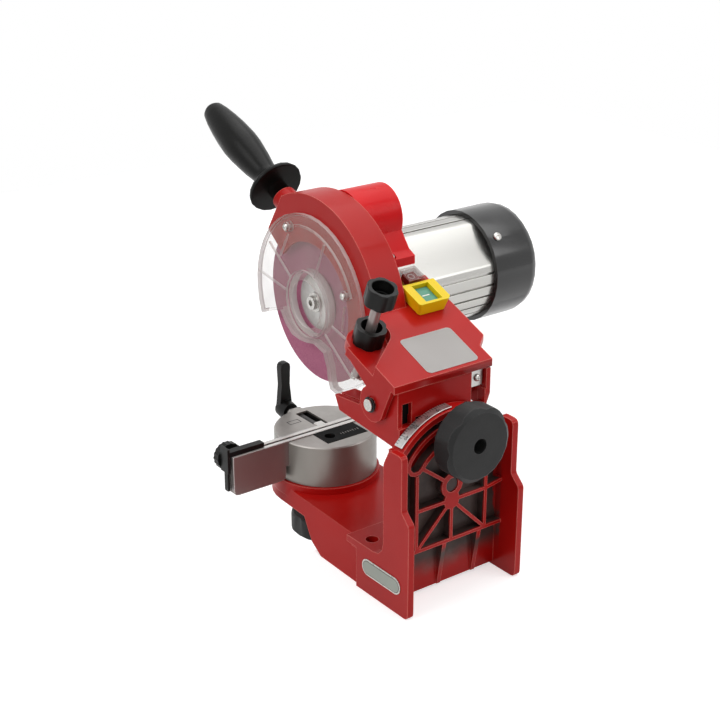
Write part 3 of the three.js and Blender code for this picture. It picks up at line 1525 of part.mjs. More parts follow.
// Spindle: what turns with the wheel
const spindle = new THREE.Group();
head.add(spindle);
add(spindle, "grinding_wheel", grindingWheel(), abrasive());
add(spindle, "inner_flange", innerFlange(), steel());
add(spindle, "outer_flange", outerFlange(), zinc());
add(spindle, "arbor_screw", arborScrew(), steel());
add(spindle, "rotor_shaft", rotorShaft(), steel());
add(spindle, "cooling_fan", coolingFan(), blackPlastic());

// Depth stop screw with its knob, and the lock knob on the lug
const lockSeat = gap - lugFloorDrop;
add(head, "depth_screw", aboutScrew(cylZ(screwRadius, screwBottom, screwTop + cupFloor / 2, 0, 0, 18)),
  steel());
add(head, "depth_knob", aboutScrew(placed(cupKnob(screwRadius + gap),
  new THREE.Matrix4().makeTranslation(0, 0, screwTop - cupFloor / 2))), blackPlastic());
add(head, "depth_lock_knob", aboutScrew(placed(cupKnob(screwRadius + gap),
  new THREE.Matrix4().makeTranslation(0, 0, lockSeat))), blackPlastic());

add(head, "switch_bezel", onPlate(switchBezel(), switchX, switchAlong, gap), yellow());
add(head, "on_button", onPlate(button(onHalfX, onHalfY, onAt, onTop), switchX, switchAlong, gap), green());
add(head, "off_button", onPlate(button(offHalfX, offHalfY, offAt, offTop), switchX, switchAlong, gap),
  redButton());
add(head, "switch_flap", onPlate(switchFlap(), switchX, switchAlong, gap), clear());

// Vise, drawn from the swivel axis with zero at the disc's top
const vise = new THREE.Group();
vise.position.set(0, viseY, seatTop + gap + discHeight);
machine.add(vise);
const farJawY = jawNear - jawThick - jawOpen;

function viseDisc() {
  let body = union([
    latheZ([[0, -discHeight], [discRadius, -discHeight], [discRadius, -overrun], [discRadius - overrun, 0],
      [0, 0]], 0, 0, 48),
    cylY(frontBoss, -frontBossOut, -discRadius / 2, 0, -rodDrop - overrun, 20).intersect(
      box(-frontBoss, frontBoss, -frontBossOut - overrun, 0, -discHeight, 0))]);
  const slotBottom = jawProud - jawInnerHeight - gap;
  body = cut(body, [
    box(jawFarEnd - gap, jawStep, farJawY - jawThick - gap, jawNear + gap, slotBottom, overrun),
    box(insertWest - gap, insertEast + gap, jawNear, insertNear + gap, -insertThick - gap, overrun),
    box(-channelHalf, channelHalf, -discRadius + rimWall * 2, farJawY, -channelDepth, overrun),
    cylY(rodRadius + gap, -frontBossOut - overrun, farJawY, 0, -rodDrop, 16),
    cylZ(viseBoltRadius + gap, -discHeight - overrun, viseBoltReach + gap - discHeight, 0, 0, 20)]);
  return body;
}

function jawPlate(y0, y1, x0, x1) {
  return slabY(rounded([
    [x0, jawProud - jawInnerHeight], [jawStep, jawProud - jawInnerHeight],
      [jawStep, jawProud - jawHeight, jawCorner],
    [x1, jawProud - jawHeight, jawCorner], [x1, jawProud], [x0, jawProud]]), y0, y1);
}

function fixedJaw() {
  return jawPlate(jawNear - jawThick, jawNear, jawFarEnd, jawEnd);
}

function movableJaw() {
  const plate = jawPlate(farJawY - jawThick, farJawY, jawFarEnd, jawEnd);
  const socket = cylY(rodRadius + 3 * overrun, farJawY - 3 * jawThick, farJawY - jawThick / 2, 0, -rodDrop,
    18).intersect(
    box(-channelHalf + gap, channelHalf - gap, -discRadius, farJawY, -channelDepth + gap, 0));
  return union([plate, socket]);
}

function clampRod() {
  return cylY(rodRadius, -leverOut - leverHubLength / 2 + overrun, farJawY - 3 * jawThick - gap, 0,
    -rodDrop, 16);
}

function clampLever() {
  const y0 = -leverOut - leverHubLength / 2;
  const tip = leverLength - rodDrop;
  const foot = rodRadius + overrun - rodDrop;
  const hub = latheY([[rodRadius + gap, y0], [leverHub, y0], [leverHub + overrun, y0 + leverHubLength / 2],
    [leverHub, y0 + leverHubLength], [rodRadius + gap, y0 + leverHubLength], [rodRadius + gap, y0]], 0,
      -rodDrop, 24);
  const neck = leverHalf - overrun;
  const root = leverHalf + overrun;
  const arm = slabY(rounded([
    [-root, foot], [root, foot], [neck, leverLength * leverNeckShare], [leverHalf, tip, leverHalf],
    [-leverHalf, tip, leverHalf], [-neck, leverLength * leverNeckShare]]), y0, y0 + leverThick);
  return union([hub, arm]);
}

function viseInsert() {
  const plate = box(insertWest, insertEast, jawNear + gap, insertNear, -insertThick, insertProud);
  return cut(plate, [cylZ(insertHole, -insertThick - overrun, insertProud + overrun,
    insertEast - 2 * insertHole, (jawNear + insertNear) / 2, 20)]);
}

function viseBolt() {
  const low = armNoseHeight - viseKnobStandOff - knobThick / 2 - seatTop - gap;
  return latheZ([
    [0, low], [viseBoltRadius, low], [viseBoltRadius, viseBoltReach], [0, viseBoltReach]], 0, 0, 20);
}

const jawMid = jawNear - jawThick - jawOpen / 2;
const stopLegX = jawEnd + stopClear;
const stopPlateY = farJawY - jawThick - gap;

// The stop: a bar over the jaws, a leg across their ends and a plate behind the far jaw
function chainStop() {
  const low = jawProud + gap;
  return cut(union([
    box(stopStart, stopLegX + overrun, jawMid - stopHalf, jawMid + stopHalf, low, low + stopHeight),
    box(stopLegX, stopLegX + stopLegThick, stopPlateY - stopLegThick, jawMid + stopHalf, -stopPlateDrop,
      low + stopHeight + stopHead / 2),
    box(stopLegX, stopLegX + stopLegThick, jawMid - stopLegHalf, jawMid + stopLegHalf, jawProud - stopLeg,
      0),
    box(stopPlateStart, stopLegX + overrun, stopPlateY - stopLegThick, stopPlateY, -stopPlateDrop, low)]), [
    cylY(stopScrew + gap, stopPlateY - stopLegThick - overrun, stopPlateY + overrun, stopKnobAt,
      -stopKnobDrop, 12)]);
}

function stopKnob() {
  const steps = knurlCount * 2;
  const outline = [];
  for (let k = 0; k < steps; k += 1) {
    const angle = (2 * Math.PI * k) / steps;
    const r = stopKnobRadius - (k % 2) * knurlDepth;
    outline.push([stopKnobAt + r * Math.cos(angle), r * Math.sin(angle) - stopKnobDrop]);
  }
  const front = stopPlateY - stopLegThick - gap;
  const back = front - stopKnobThick;
  return union([
    slabY(outline, back, front),
    cylY(stopScrew, front - overrun, stopPlateY, stopKnobAt, -stopKnobDrop, 12),
    cylY(stopKnobRadius / 2, back - 2 * overrun, back + overrun, stopKnobAt, -stopKnobDrop, 12)]);
}

add(vise, "vise_disc", viseDisc(), castIron());
add(vise, "fixed_jaw", fixedJaw(), steel());
add(vise, "movable_jaw", movableJaw(), steel());
add(vise, "clamp_rod", clampRod(), steel());
add(vise, "clamp_lever", clampLever(), blackPlastic());
add(vise, "vise_insert", viseInsert(), blackPlastic());
add(vise, "chain_stop", chainStop(), blackPlastic());
add(vise, "stop_adjust_knob", stopKnob(), blackPlastic());
const boltGroup = new THREE.Group();
boltGroup.position.z = -discHeight;
add(boltGroup, "vise_pivot_bolt", viseBolt(), steel());
vise.add(boltGroup);

export default machine;
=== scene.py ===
# Looks for the bench-mounted chain sharpener. Metres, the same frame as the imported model.
import json
import math

import bmesh
import bpy
from mathutils import Matrix, Vector


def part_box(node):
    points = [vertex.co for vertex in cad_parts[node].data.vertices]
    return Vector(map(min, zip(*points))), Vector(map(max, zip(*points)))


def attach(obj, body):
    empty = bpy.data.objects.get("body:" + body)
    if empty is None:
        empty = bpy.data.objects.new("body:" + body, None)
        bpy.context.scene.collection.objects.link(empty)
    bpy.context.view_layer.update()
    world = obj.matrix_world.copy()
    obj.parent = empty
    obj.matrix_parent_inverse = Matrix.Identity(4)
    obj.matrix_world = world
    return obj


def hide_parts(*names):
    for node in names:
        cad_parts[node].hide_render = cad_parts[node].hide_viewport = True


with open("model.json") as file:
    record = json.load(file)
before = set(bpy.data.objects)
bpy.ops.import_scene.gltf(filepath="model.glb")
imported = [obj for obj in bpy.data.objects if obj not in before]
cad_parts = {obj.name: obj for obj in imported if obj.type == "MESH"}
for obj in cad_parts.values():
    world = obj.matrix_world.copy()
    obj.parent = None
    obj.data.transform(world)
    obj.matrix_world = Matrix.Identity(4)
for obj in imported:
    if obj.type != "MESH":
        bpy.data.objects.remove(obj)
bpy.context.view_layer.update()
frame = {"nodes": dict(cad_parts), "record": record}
nodes = frame["nodes"]
body_of = {node: body for body, held in frame["record"]["behaviour"]["bodies"].items() for node in held}
slot_of = {row["node"]: row["material_slot"] for row in frame["record"]["subparts"]}

# Sizes of the machine that the looks follow, in millimetres
MM = 0.001
SLOPE = math.radians(21.5)
GAP = 0.3
WHEEL_Y = -138.0
WHEEL_Z = 199.5
PLATE_BACK = 168.0
PLATE_DROP = -11.0
TILT_Z = 95.2
VISE_Y = -133.0

# Ranges that the noise of most finishes is read over
NOISE_RANGE = (0.3, 0.7)
MOTTLE_RANGE = (0.35, 0.65)

# Painted highlight on outer edges and corners
EDGE_RADIUS = 0.0013
EDGE_SAMPLES = 4
EDGE_TURN = (0.90, 0.985)
EDGE_OUTWARD = (0.495, 0.505)


# Shader helpers
def srgb(r, g, b):
    def channel(c):
        c /= 255.0
        return c / 12.92 if c <= 0.04045 else ((c + 0.055) / 1.055) ** 2.4
    return (channel(r), channel(g), channel(b), 1.0)


def shade(color, factor, lift=0.0):
    """The same colour, darker or lighter, and never above one."""
    return tuple(min(1.0, c * factor + lift) for c in color[:3]) + (1.0,)


class Graph:
    """A small wrapper that adds and links shader nodes."""

    SOCKETS = {"rough": "Roughness", "metal": "Metallic", "coat": "Coat Weight", "spec": "Specular IOR Level",
               "coat_rough": "Coat Roughness", "alpha": "Alpha", "ior": "IOR", "color": "Base Color"}

    def __init__(self, name):
        self.material = bpy.data.materials.new(name)
        self.material.use_nodes = True
        self.tree = self.material.node_tree
        self.bsdf = self.tree.nodes["Principled BSDF"]
        self.coords = self.add("ShaderNodeTexCoord")
        self.place = self.coords.outputs["Object"]

    def add(self, kind, **values):
        n = self.tree.nodes.new(kind)
        for key, value in values.items():
            setattr(n, key, value)
        return n

    def link(self, a, b):
        self.tree.links.new(a, b)

    def noise(self, scale, detail=4.0, rough=0.55, stretch=None):
        n = self.add("ShaderNodeTexNoise")
        n.inputs["Scale"].default_value = scale
        n.inputs["Detail"].default_value = detail
        n.inputs["Roughness"].default_value = rough
        source = self.place
        if stretch:
            m = self.add("ShaderNodeMapping")
            m.inputs["Scale"].default_value = stretch
            self.link(self.place, m.inputs["Vector"])
            source = m.outputs["Vector"]
        self.link(source, n.inputs["Vector"])
        return n.outputs["Fac"]

    def ramp(self, value, stops):
        n = self.add("ShaderNodeValToRGB")
        e = n.color_ramp.elements
        while len(e) < len(stops):
            e.new(0.5)
        for item, (at, color) in zip(e, stops):
            item.position = at
            item.color = color
        self.link(value, n.inputs["Fac"])
        return n.outputs["Color"]

    def two_tone(self, value, low_color, high_color, between=NOISE_RANGE):
        return self.ramp(value, list(zip(between, (low_color, high_color))))

    def mottle(self, scale, low_color, high_color):
        """Broad soft blotches of two close colours."""
        return self.two_tone(self.noise(scale, detail=2.0), low_color, high_color, MOTTLE_RANGE)

    def span(self, value, low, high, to_low, to_high, smooth=False):
        n = self.add("ShaderNodeMapRange")
        if smooth:
            n.interpolation_type = "SMOOTHSTEP"
        for key, v in (("From Min", low), ("From Max", high), ("To Min", to_low), ("To Max", to_high)):
            n.inputs[key].default_value = v
        self.link(value, n.inputs["Value"])
        return n.outputs["Result"]

    def vary(self, noise, low, high):
        """A value that wanders between two levels with the noise."""
        return self.span(noise, *NOISE_RANGE, low, high)

    def rises(self, value, between, smooth=True):
        return self.span(value, *between, 0.0, 1.0, smooth)

    def falls(self, value, between, smooth=True):
        return self.span(value, *between, 1.0, 0.0, smooth)

    def edges(self):
        """One on outer edges and corners, nought on flats: where a lighter edge highlight is painted."""
        round_off = self.add("ShaderNodeBevel", samples=EDGE_SAMPLES)
        round_off.inputs["Radius"].default_value = EDGE_RADIUS
        geometry = self.add("ShaderNodeNewGeometry")
        meet = self.add("ShaderNodeVectorMath", operation="DOT_PRODUCT")
        self.link(round_off.outputs["Normal"], meet.inputs[0])
        self.link(geometry.outputs["Normal"], meet.inputs[1])
        turned = self.falls(meet.outputs["Value"], EDGE_TURN)
        outward = self.rises(geometry.outputs["Pointiness"], EDGE_OUTWARD, False)
        return self.product(turned, outward)

    def split(self, vector):
        """The X, Y and Z of a vector."""
        n = self.add("ShaderNodeSeparateXYZ")
        self.link(vector, n.inputs["Vector"])
        return [n.outputs[axis] for axis in ("X", "Y", "Z")]

    def upward(self, between):
        """One where a face looks up, nought where it looks aside; it places the painted highlight on tops."""
        return self.rises(self.split(self.coords.outputs["Normal"])[2], between)

    def math(self, kind, a, b=None):
        n = self.add("ShaderNodeMath", operation=kind)
        for i, v in enumerate((a, b)):
            if v is None:
                continue
            if isinstance(v, (int, float)):
                n.inputs[i].default_value = v
            else:
                self.link(v, n.inputs[i])
        return n.outputs["Value"]

    def product(self, first, *others):
        for other in others:
            first = self.math("MULTIPLY", first, other)
        return first

    def distance(self, a, b):
        """Distance from the origin in a plane."""
        return self.math("SQRT", self.math("ADD", self.math("POWER", a, 2.0), self.math("POWER", b, 2.0)))

    def mix(self, factor, a, b):
        n = self.add("ShaderNodeMix", data_type="RGBA")
        self.link(factor, n.inputs["Factor"])
        for socket, v in ((n.inputs["A"], a), (n.inputs["B"], b)):
            if isinstance(v, tuple):
                socket.default_value = v
            else:
                self.link(v, socket)
        return n.outputs["Result"]

    def bump(self, height, strength, distance):
        n = self.add("ShaderNodeBump")
        n.inputs["Strength"].default_value = strength
        n.inputs["Distance"].default_value = distance
        self.link(height, n.inputs["Height"])
        self.link(n.outputs["Normal"], self.bsdf.inputs["Normal"])

    def set(self, **values):
        for key, v in values.items():
            socket = self.bsdf.inputs[self.SOCKETS[key]]
            if isinstance(v, bpy.types.NodeSocket):
                self.link(v, socket)
            else:
                socket.default_value = v


# Red enamel
RED = srgb(192, 24, 20)
RED_DARK = srgb(184, 21, 18)
# A lighter red painted on outer edges: a painted highlight
EDGE_HIGHLIGHT_RED = srgb(230, 118, 108)
ENAMEL_GLOSS = {"coat": 0.08, "coat_rough": 0.08, "spec": 0.13}
ENAMEL_BLOTCH = 9.0
ENAMEL_PEEL = 520.0
ENAMEL_ROUGH = (0.30, 0.38)


def paint(name):
    g = Graph(name)
    # Outer edges are painted lighter red as a highlight.
    g.set(color=g.mix(g.edges(), g.mottle(ENAMEL_BLOTCH, RED_DARK, RED), EDGE_HIGHLIGHT_RED), **ENAMEL_GLOSS)
    g.set(rough=g.vary(g.noise(scale=60.0), *ENAMEL_ROUGH))
    g.bump(g.noise(scale=ENAMEL_PEEL, detail=2.0), strength=0.05, distance=0.0004)
    return g.material


# Bounds of the painted shade in the pockets of the base's rear web, in metres, each as the start and end of a
# fade
POCKET_FLOOR_Y = (0.0410, 0.0424)
POCKET_FRONT_Y = (0.0340, 0.0346)
POCKET_FOOT_Z = (0.012, 0.034)
POCKET_SIDE_X = (0.0520, 0.0538)
POCKET_SIDE_LEFT = 0.25
FLANGE_X = (0.0541, 0.0545)
ARCH_RADIUS = (0.0570, 0.0612)
ARCH_FOOT_Z = (0.110, 0.122)
RAGGED_REACH = 0.012
RAGGED_DEPTH_SHARE = 0.25
RAGGED_FLANGE_SHARE = 0.1
POCKET_ROUGH = 0.45
CAST_UNDER_PAINT = 0.12
PEEL_SHARE = 0.3


def pocket_mask(g):
    """One in the deep pockets of the rear web, where shade is painted; nought on its ribs, its flanges and
    everywhere else.
    """
    x, y, z = g.split(g.place)
    ragged = g.product(g.math("SUBTRACT", g.noise(scale=45.0, detail=4.0), 0.5), RAGGED_REACH)
    across = g.math("ABSOLUTE", x)
    depth = g.falls(g.math("ADD", y, g.product(ragged, RAGGED_DEPTH_SHARE)), POCKET_FLOOR_Y)
    behind = g.rises(y, POCKET_FRONT_Y, False)
    low = g.rises(g.math("ADD", z, ragged), POCKET_FOOT_Z)
    side = g.span(g.math("ADD", across, ragged), *POCKET_SIDE_X, 1.0, POCKET_SIDE_LEFT, True)
    flank = g.falls(g.math("ADD", across, g.product(ragged, RAGGED_FLANGE_SHARE)), FLANGE_X, False)
    radius = g.distance(x, g.math("SUBTRACT", z, TILT_Z * MM))
    arch = g.math("MAXIMUM", g.falls(radius, ARCH_RADIUS), g.falls(z, ARCH_FOOT_Z))
    return g.product(depth, behind, low, side, flank, arch)


def base_paint():
    """Red enamel outside; the rear web's deep pockets are painted dark grey-brown as shade, with a rougher,
    grainier finish.
    """
    g = Graph("base_enamel")
    mask = pocket_mask(g)
    pocket_shade_stops = [(0.3, srgb(54, 42, 40)), (0.55, srgb(84, 70, 66)), (0.8, srgb(128, 112, 106))]
    pocket_shade = g.ramp(g.noise(scale=26.0, detail=5.0), pocket_shade_stops)
    # Outer edges are painted lighter red as a highlight.
    red = g.mix(g.edges(), g.mottle(ENAMEL_BLOTCH, RED_DARK, RED), EDGE_HIGHLIGHT_RED)
    # The pockets take the dark grey-brown: painted shade.
    g.set(color=g.mix(mask, red, pocket_shade), **ENAMEL_GLOSS)
    g.set(rough=g.span(mask, 0.0, 1.0, ENAMEL_ROUGH[0], POCKET_ROUGH))
    rough_cast = g.product(g.noise(scale=140.0, detail=5.0), g.math("ADD", mask, CAST_UNDER_PAINT))
    peel = g.product(g.noise(scale=ENAMEL_PEEL, detail=2.0), PEEL_SHARE)
    g.bump(g.math("ADD", peel, rough_cast), strength=0.16, distance=0.0007)
    return g.material


# Plastics and metals
PLASTIC_BLOTCH = 12.0
PLASTIC_SWAY = (0.04, 0.05)


def plastic(name, color, rough=0.4, grain=900.0, strength=0.08, coat=0.0, spec=0.3):
    g = Graph(name)
    body = g.mottle(PLASTIC_BLOTCH, shade(color, factor=0.92), color)
    # Outer edges take a lighter tone: a painted highlight.
    painted_highlight = shade(color, factor=1.25, lift=0.03)
    g.set(color=g.mix(g.edges(), body, painted_highlight), coat=coat, coat_rough=0.1, spec=spec)
    smoother, rougher = PLASTIC_SWAY
    g.set(rough=g.vary(g.noise(scale=70.0, detail=2.0), rough - smoother, rough + rougher))
    g.bump(g.noise(grain, detail=1.0), strength=strength, distance=0.0003)
    return g.material


def metal(name, color, rough=0.3, stretch=(1.0, 1.0, 1.0), scale=300.0, strength=0.08, metallic=1.0,
          dip=0.8, sway=0.07):
    """Metal with drawn streaks: dip darkens them, and sway spreads their roughness."""
    g = Graph(name)
    streak = g.noise(scale, detail=5.0, rough=0.6, stretch=stretch)
    body = g.two_tone(streak, shade(color, factor=dip), color)
    # Outer edges take a lighter tone: a painted highlight.
    painted_highlight = shade(color, factor=1.15, lift=0.06)
    g.set(color=g.mix(g.edges(), body, painted_highlight), metal=metallic)
    g.set(rough=g.vary(streak, rough - sway, rough + sway))
    g.bump(streak, strength=strength, distance=0.0004)
    return g.material


# How far a face of a clear piece leans from its axes before it counts as a side wall
BOX_SIDE = (0.86, 0.985)
SHEET_SIDE = (0.35, 0.97)
GRAZING_HAZE = 0.12


def side_walls(g, lean):
    """One on the side walls of a clear piece. A leaning box is read along all its axes, a sheet along X."""
    turn = g.add("ShaderNodeMapping", vector_type="VECTOR")
    turn.inputs["Rotation"].default_value = (lean, 0.0, 0.0)
    g.link(g.coords.outputs["Normal"], turn.inputs["Vector"])
    square = [g.math("ABSOLUTE", part) for part in g.split(turn.outputs["Vector"])]
    if lean:
        return g.falls(g.math("MAXIMUM", g.math("MAXIMUM", square[0], square[1]), square[2]), BOX_SIDE)
    return g.falls(square[0], SHEET_SIDE)


def clear_plastic(name, face, edge, face_alpha, edge_alpha, lean=0.0):
    """Clear moulded sheet: nearly see-through; its side walls are painted brighter and more opaque as a
    highlight. Lean turns its axes about X.
    """
    g = Graph(name)
    side = side_walls(g, lean)
    grazing = g.add("ShaderNodeLayerWeight")
    grazing.inputs["Blend"].default_value = 0.25
    cloud = g.vary(g.noise(scale=38.0, detail=2.0), low=0.0, high=0.05)
    haze = g.math("ADD", cloud, g.product(grazing.outputs["Facing"], GRAZING_HAZE))
    # Side walls take the lighter colour: a painted highlight.
    g.set(color=g.mix(side, face, edge), rough=0.08, spec=0.5, ior=1.45)
    g.set(alpha=g.math("ADD", g.span(side, 0.0, 1.0, face_alpha, edge_alpha), haze))
    g.bump(g.noise(scale=90.0, detail=2.0), strength=0.04, distance=0.0006)
    g.material.surface_render_method = "BLENDED"
    return g.material


# Bounds of the painted shade in the vise disc's jaw channel, in metres
CHANNEL_BELOW_TOP = (0.0025, 0.0012)
CHANNEL_X = (0.0068, 0.0072)
CHANNEL_FADE = 0.002
LATHE_RINGS = 900.0


# One inside the jaw channel, where shade is painted
def channel_mask(g):
    x, y, z = g.split(g.place)
    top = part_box("vise_disc")[1][2]
    sunk = g.falls(z, (top - CHANNEL_BELOW_TOP[0], top - CHANNEL_BELOW_TOP[1]), False)
    within = g.falls(g.math("ABSOLUTE", x), CHANNEL_X, False)
    ahead = g.falls(y, (VISE_Y * MM - CHANNEL_FADE, VISE_Y * MM + CHANNEL_FADE), False)
    return g.product(sunk, within, ahead)


def lathe_rings(g):
    """Fine turned rings about the vise's own axis."""
    move = g.add("ShaderNodeMapping")
    move.inputs["Location"].default_value = (0.0, -VISE_Y * MM, 0.0)
    g.link(g.place, move.inputs["Vector"])
    wave = g.add("ShaderNodeTexWave", wave_type="RINGS", rings_direction="Z")
    wave.inputs["Scale"].default_value = LATHE_RINGS
    wave.inputs["Distortion"].default_value = 0.6
    g.link(move.outputs["Vector"], wave.inputs["Vector"])
    return wave.outputs["Fac"]


def machined_iron():
    """Lathe-turned top and side of the vise disc; the tops are painted lighter than the sides as a highlight,
    and the jaw channel inside is painted dark as shade.
    """
    g = Graph("machined_iron")
    lit_top = g.two_tone(g.noise(scale=30.0), srgb(164, 159, 154), srgb(184, 180, 176))
    # Up-facing faces and outer edges take the lighter turned colour, the sides the darker one: a painted
    # highlight on the tops.
    lit_and_shaded_skin = g.mix(g.math("MAXIMUM", g.upward(between=(0.3, 0.8)), g.edges()), srgb(142, 138, 132), lit_top)
    # Inside the jaw channel the colour is painted near black: painted shade in the recess.
    g.set(color=g.mix(channel_mask(g), lit_and_shaded_skin, srgb(46, 44, 43)), metal=0.6)
    g.set(rough=g.vary(g.noise(scale=200.0), low=0.3, high=0.42))
    g.bump(lathe_rings(g), strength=0.05, distance=0.0002)
    return g.material


def jaw_steel():
    """Dark ground steel on the jaw plates' sides; the up-facing tops and the outer edges are painted near
    white as a highlight.
    """
    g = Graph("jaw_steel")
    side = g.two_tone(g.noise(scale=16.0, detail=2.0), srgb(150, 138, 136), srgb(162, 152, 149))
    # Tops and outer edges painted near white: a painted highlight.
    painted_highlight = g.math("MAXIMUM", g.upward(between=(0.6, 0.9)), g.edges())
    g.set(color=g.mix(painted_highlight, side, srgb(232, 230, 226)), metal=0.45)
    g.set(rough=g.vary(g.noise(scale=24.0, detail=2.0), low=0.22, high=0.27))
    g.bump(g.noise(scale=600.0, detail=1.0), strength=0.01, distance=0.0003)
    return g.material


def abrasive():
    g = Graph("abrasive_grit")
    grain = g.noise(scale=1500.0, detail=6.0, rough=0.8)
    blotch = g.span(g.noise(scale=60.0, detail=3.0), low=0.35, high=0.7, to_low=0.0, to_high=0.35)
    grit = [(0.32, srgb(146, 76, 104)), (0.5, srgb(196, 116, 146)), (0.68, srgb(222, 160, 182))]
    tint = g.ramp(grain, grit)
    g.set(color=g.mix(blotch, tint, srgb(200, 124, 152)), rough=0.93, spec=0.25)
    g.bump(grain, strength=0.5, distance=0.0006)
    return g.material


def laminated():
    g = Graph("laminations")
    wave = g.add("ShaderNodeTexWave", bands_direction="X")
    wave.inputs["Scale"].default_value = 320.0
    g.link(g.place, wave.inputs["Vector"])
    sheets = g.ramp(wave.outputs["Fac"], [(0.2, srgb(70, 60, 55)), (0.8, srgb(150, 140, 130))])
    g.set(color=sheets, metal=0.8, rough=0.45)
    g.bump(wave.outputs["Fac"], strength=0.3, distance=0.0003)
    return g.material


# The look of each slot, then the looks of single pieces
looks = {
    "red_paint": paint("red_enamel"),
    "red_plastic": plastic("red_moulding", srgb(228, 16, 24), rough=0.3, coat=0.06, spec=0.13),
    "black_plastic": plastic("black_moulding", srgb(15, 15, 14), rough=0.36, spec=0.2),
    "gloss_black": plastic("gloss_black_moulding", srgb(14, 14, 15), rough=0.2, strength=0.03, coat=0.4,
                           spec=0.4),
    "grey_plastic": plastic("grey_moulding", srgb(34, 34, 34), rough=0.5, grain=700.0, strength=0.14,
                            spec=0.25),
    "steel": metal("turned_steel", srgb(196, 194, 190), rough=0.28),
    "polished_steel": jaw_steel(),
    "zinc": metal("zinc_plate", srgb(196, 195, 192), rough=0.36, scale=160.0),
    "spring_steel": metal("spring_steel", srgb(120, 120, 122), rough=0.35),
    "aluminium": metal("extruded_aluminium", srgb(188, 187, 183), rough=0.26, stretch=(0.3, 1.0, 1.0),
                       scale=30.0, strength=0.001, metallic=0.85, dip=0.97, sway=0.015),
    "satin_iron": machined_iron(),
    "laminations": laminated(),
    "clear_plastic": clear_plastic("clear_guard", srgb(204, 190, 182), srgb(252, 248, 246), face_alpha=0.14,
                                   edge_alpha=0.6),
    "abrasive": abrasive(),
    "yellow_plastic": plastic("yellow_moulding", srgb(255, 220, 10), rough=0.3, coat=0.1, spec=0.2),
    "green_plastic": plastic("green_moulding", srgb(94, 160, 138), rough=0.3, coat=0.1, spec=0.2),
    "red_button": plastic("red_button_moulding", srgb(158, 60, 54), rough=0.34),
    "grip_rubber": plastic("grip_moulding", srgb(14, 14, 13), rough=0.33, grain=420.0, strength=0.2,
                           spec=0.16),
    "strip_metal": metal("scale_strip", srgb(198, 198, 196), rough=0.4),
}
bare_plate = plastic("plain_label", srgb(184, 180, 177), rough=0.42, strength=0.02, spec=0.25)
badge_face = plastic("badge_field", srgb(178, 186, 176), rough=0.35, strength=0.02)
badge_line = plastic("badge_line", srgb(70, 66, 62), rough=0.4, strength=0.02)
badge_edge = metal("badge_edge", srgb(214, 214, 208), rough=0.3, strength=0.01, metallic=0.5)
mark_white = plastic("mark_white", srgb(222, 220, 214), rough=0.5)
mark_grey = plastic("mark_grey", srgb(150, 148, 144), rough=0.5)
mark_dark = plastic("mark_dark", srgb(48, 46, 46), rough=0.6)
insert_black = plastic("insert_moulding", srgb(17, 17, 17), rough=0.6, strength=0.04, spec=0.08)
own_look = {
    "base_casting": base_paint(),
    "switch_flap": clear_plastic("clear_flap", srgb(110, 58, 52), srgb(206, 164, 156), face_alpha=0.24,
                                 edge_alpha=0.42, lean=SLOPE),
    "clamp_rod": metal("blackened_steel", srgb(92, 90, 90), rough=0.4),
    # The pivot bolt sits in a hollow of the hub; its dark reddish colour is painted shade.
    "tilt_pivot_bolt": metal("bolt_painted_shade", srgb(58, 42, 40), rough=0.5, metallic=0.5),
    "vise_insert": insert_black,
}

# Pieces
BEVEL_SEGMENTS = 2
CAD_ANGLE = 32.0
MARK_ANGLE = 40.0
NORMAL_WEIGHT = 90
MERGE_DISTANCE = 1e-5
FLAT_ANGLE = 0.8


def new_object(name, mesh, material, body):
    obj = bpy.data.objects.new(name, mesh)
    bpy.context.collection.objects.link(obj)
    mesh.materials.clear()
    mesh.materials.append(material)
    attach(obj, body)
    return obj


def soften(obj, width, angle):
    """Smooth shading, with a small bevel on every edge sharper than the angle."""
    for polygon in obj.data.polygons:
        polygon.use_smooth = True
    if width:
        bevel = obj.modifiers.new("bevel", "BEVEL")
        bevel.width = width
        bevel.segments = BEVEL_SEGMENTS
        bevel.limit_method = "ANGLE"
        bevel.angle_limit = math.radians(angle)
        bevel.use_clamp_overlap = True
    weighted = obj.modifiers.new("weighted", "WEIGHTED_NORMAL")
    weighted.mode = "FACE_AREA_WITH_ANGLE"
    weighted.weight = NORMAL_WEIGHT


def dress(node, material, bevel):
    """A finished copy of a CAD solid, with its edges broken and its curves shaded smooth."""
    mesh = nodes[node].data.copy()
    work = bmesh.new()
    work.from_mesh(mesh)
    bmesh.ops.remove_doubles(work, verts=work.verts, dist=MERGE_DISTANCE)
    flat = math.radians(FLAT_ANGLE)
    bmesh.ops.dissolve_limit(work, angle_limit=flat, verts=work.verts, edges=work.edges)
    bmesh.ops.recalc_face_normals(work, faces=work.faces)
    work.to_mesh(mesh)
    work.free()
    if not bevel:
        mesh.set_sharp_from_angle(angle=math.radians(CAD_ANGLE))
    obj = new_object(node + "_finish", mesh, material, body_of[node])
    soften(obj, bevel, CAD_ANGLE)
    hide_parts(node)


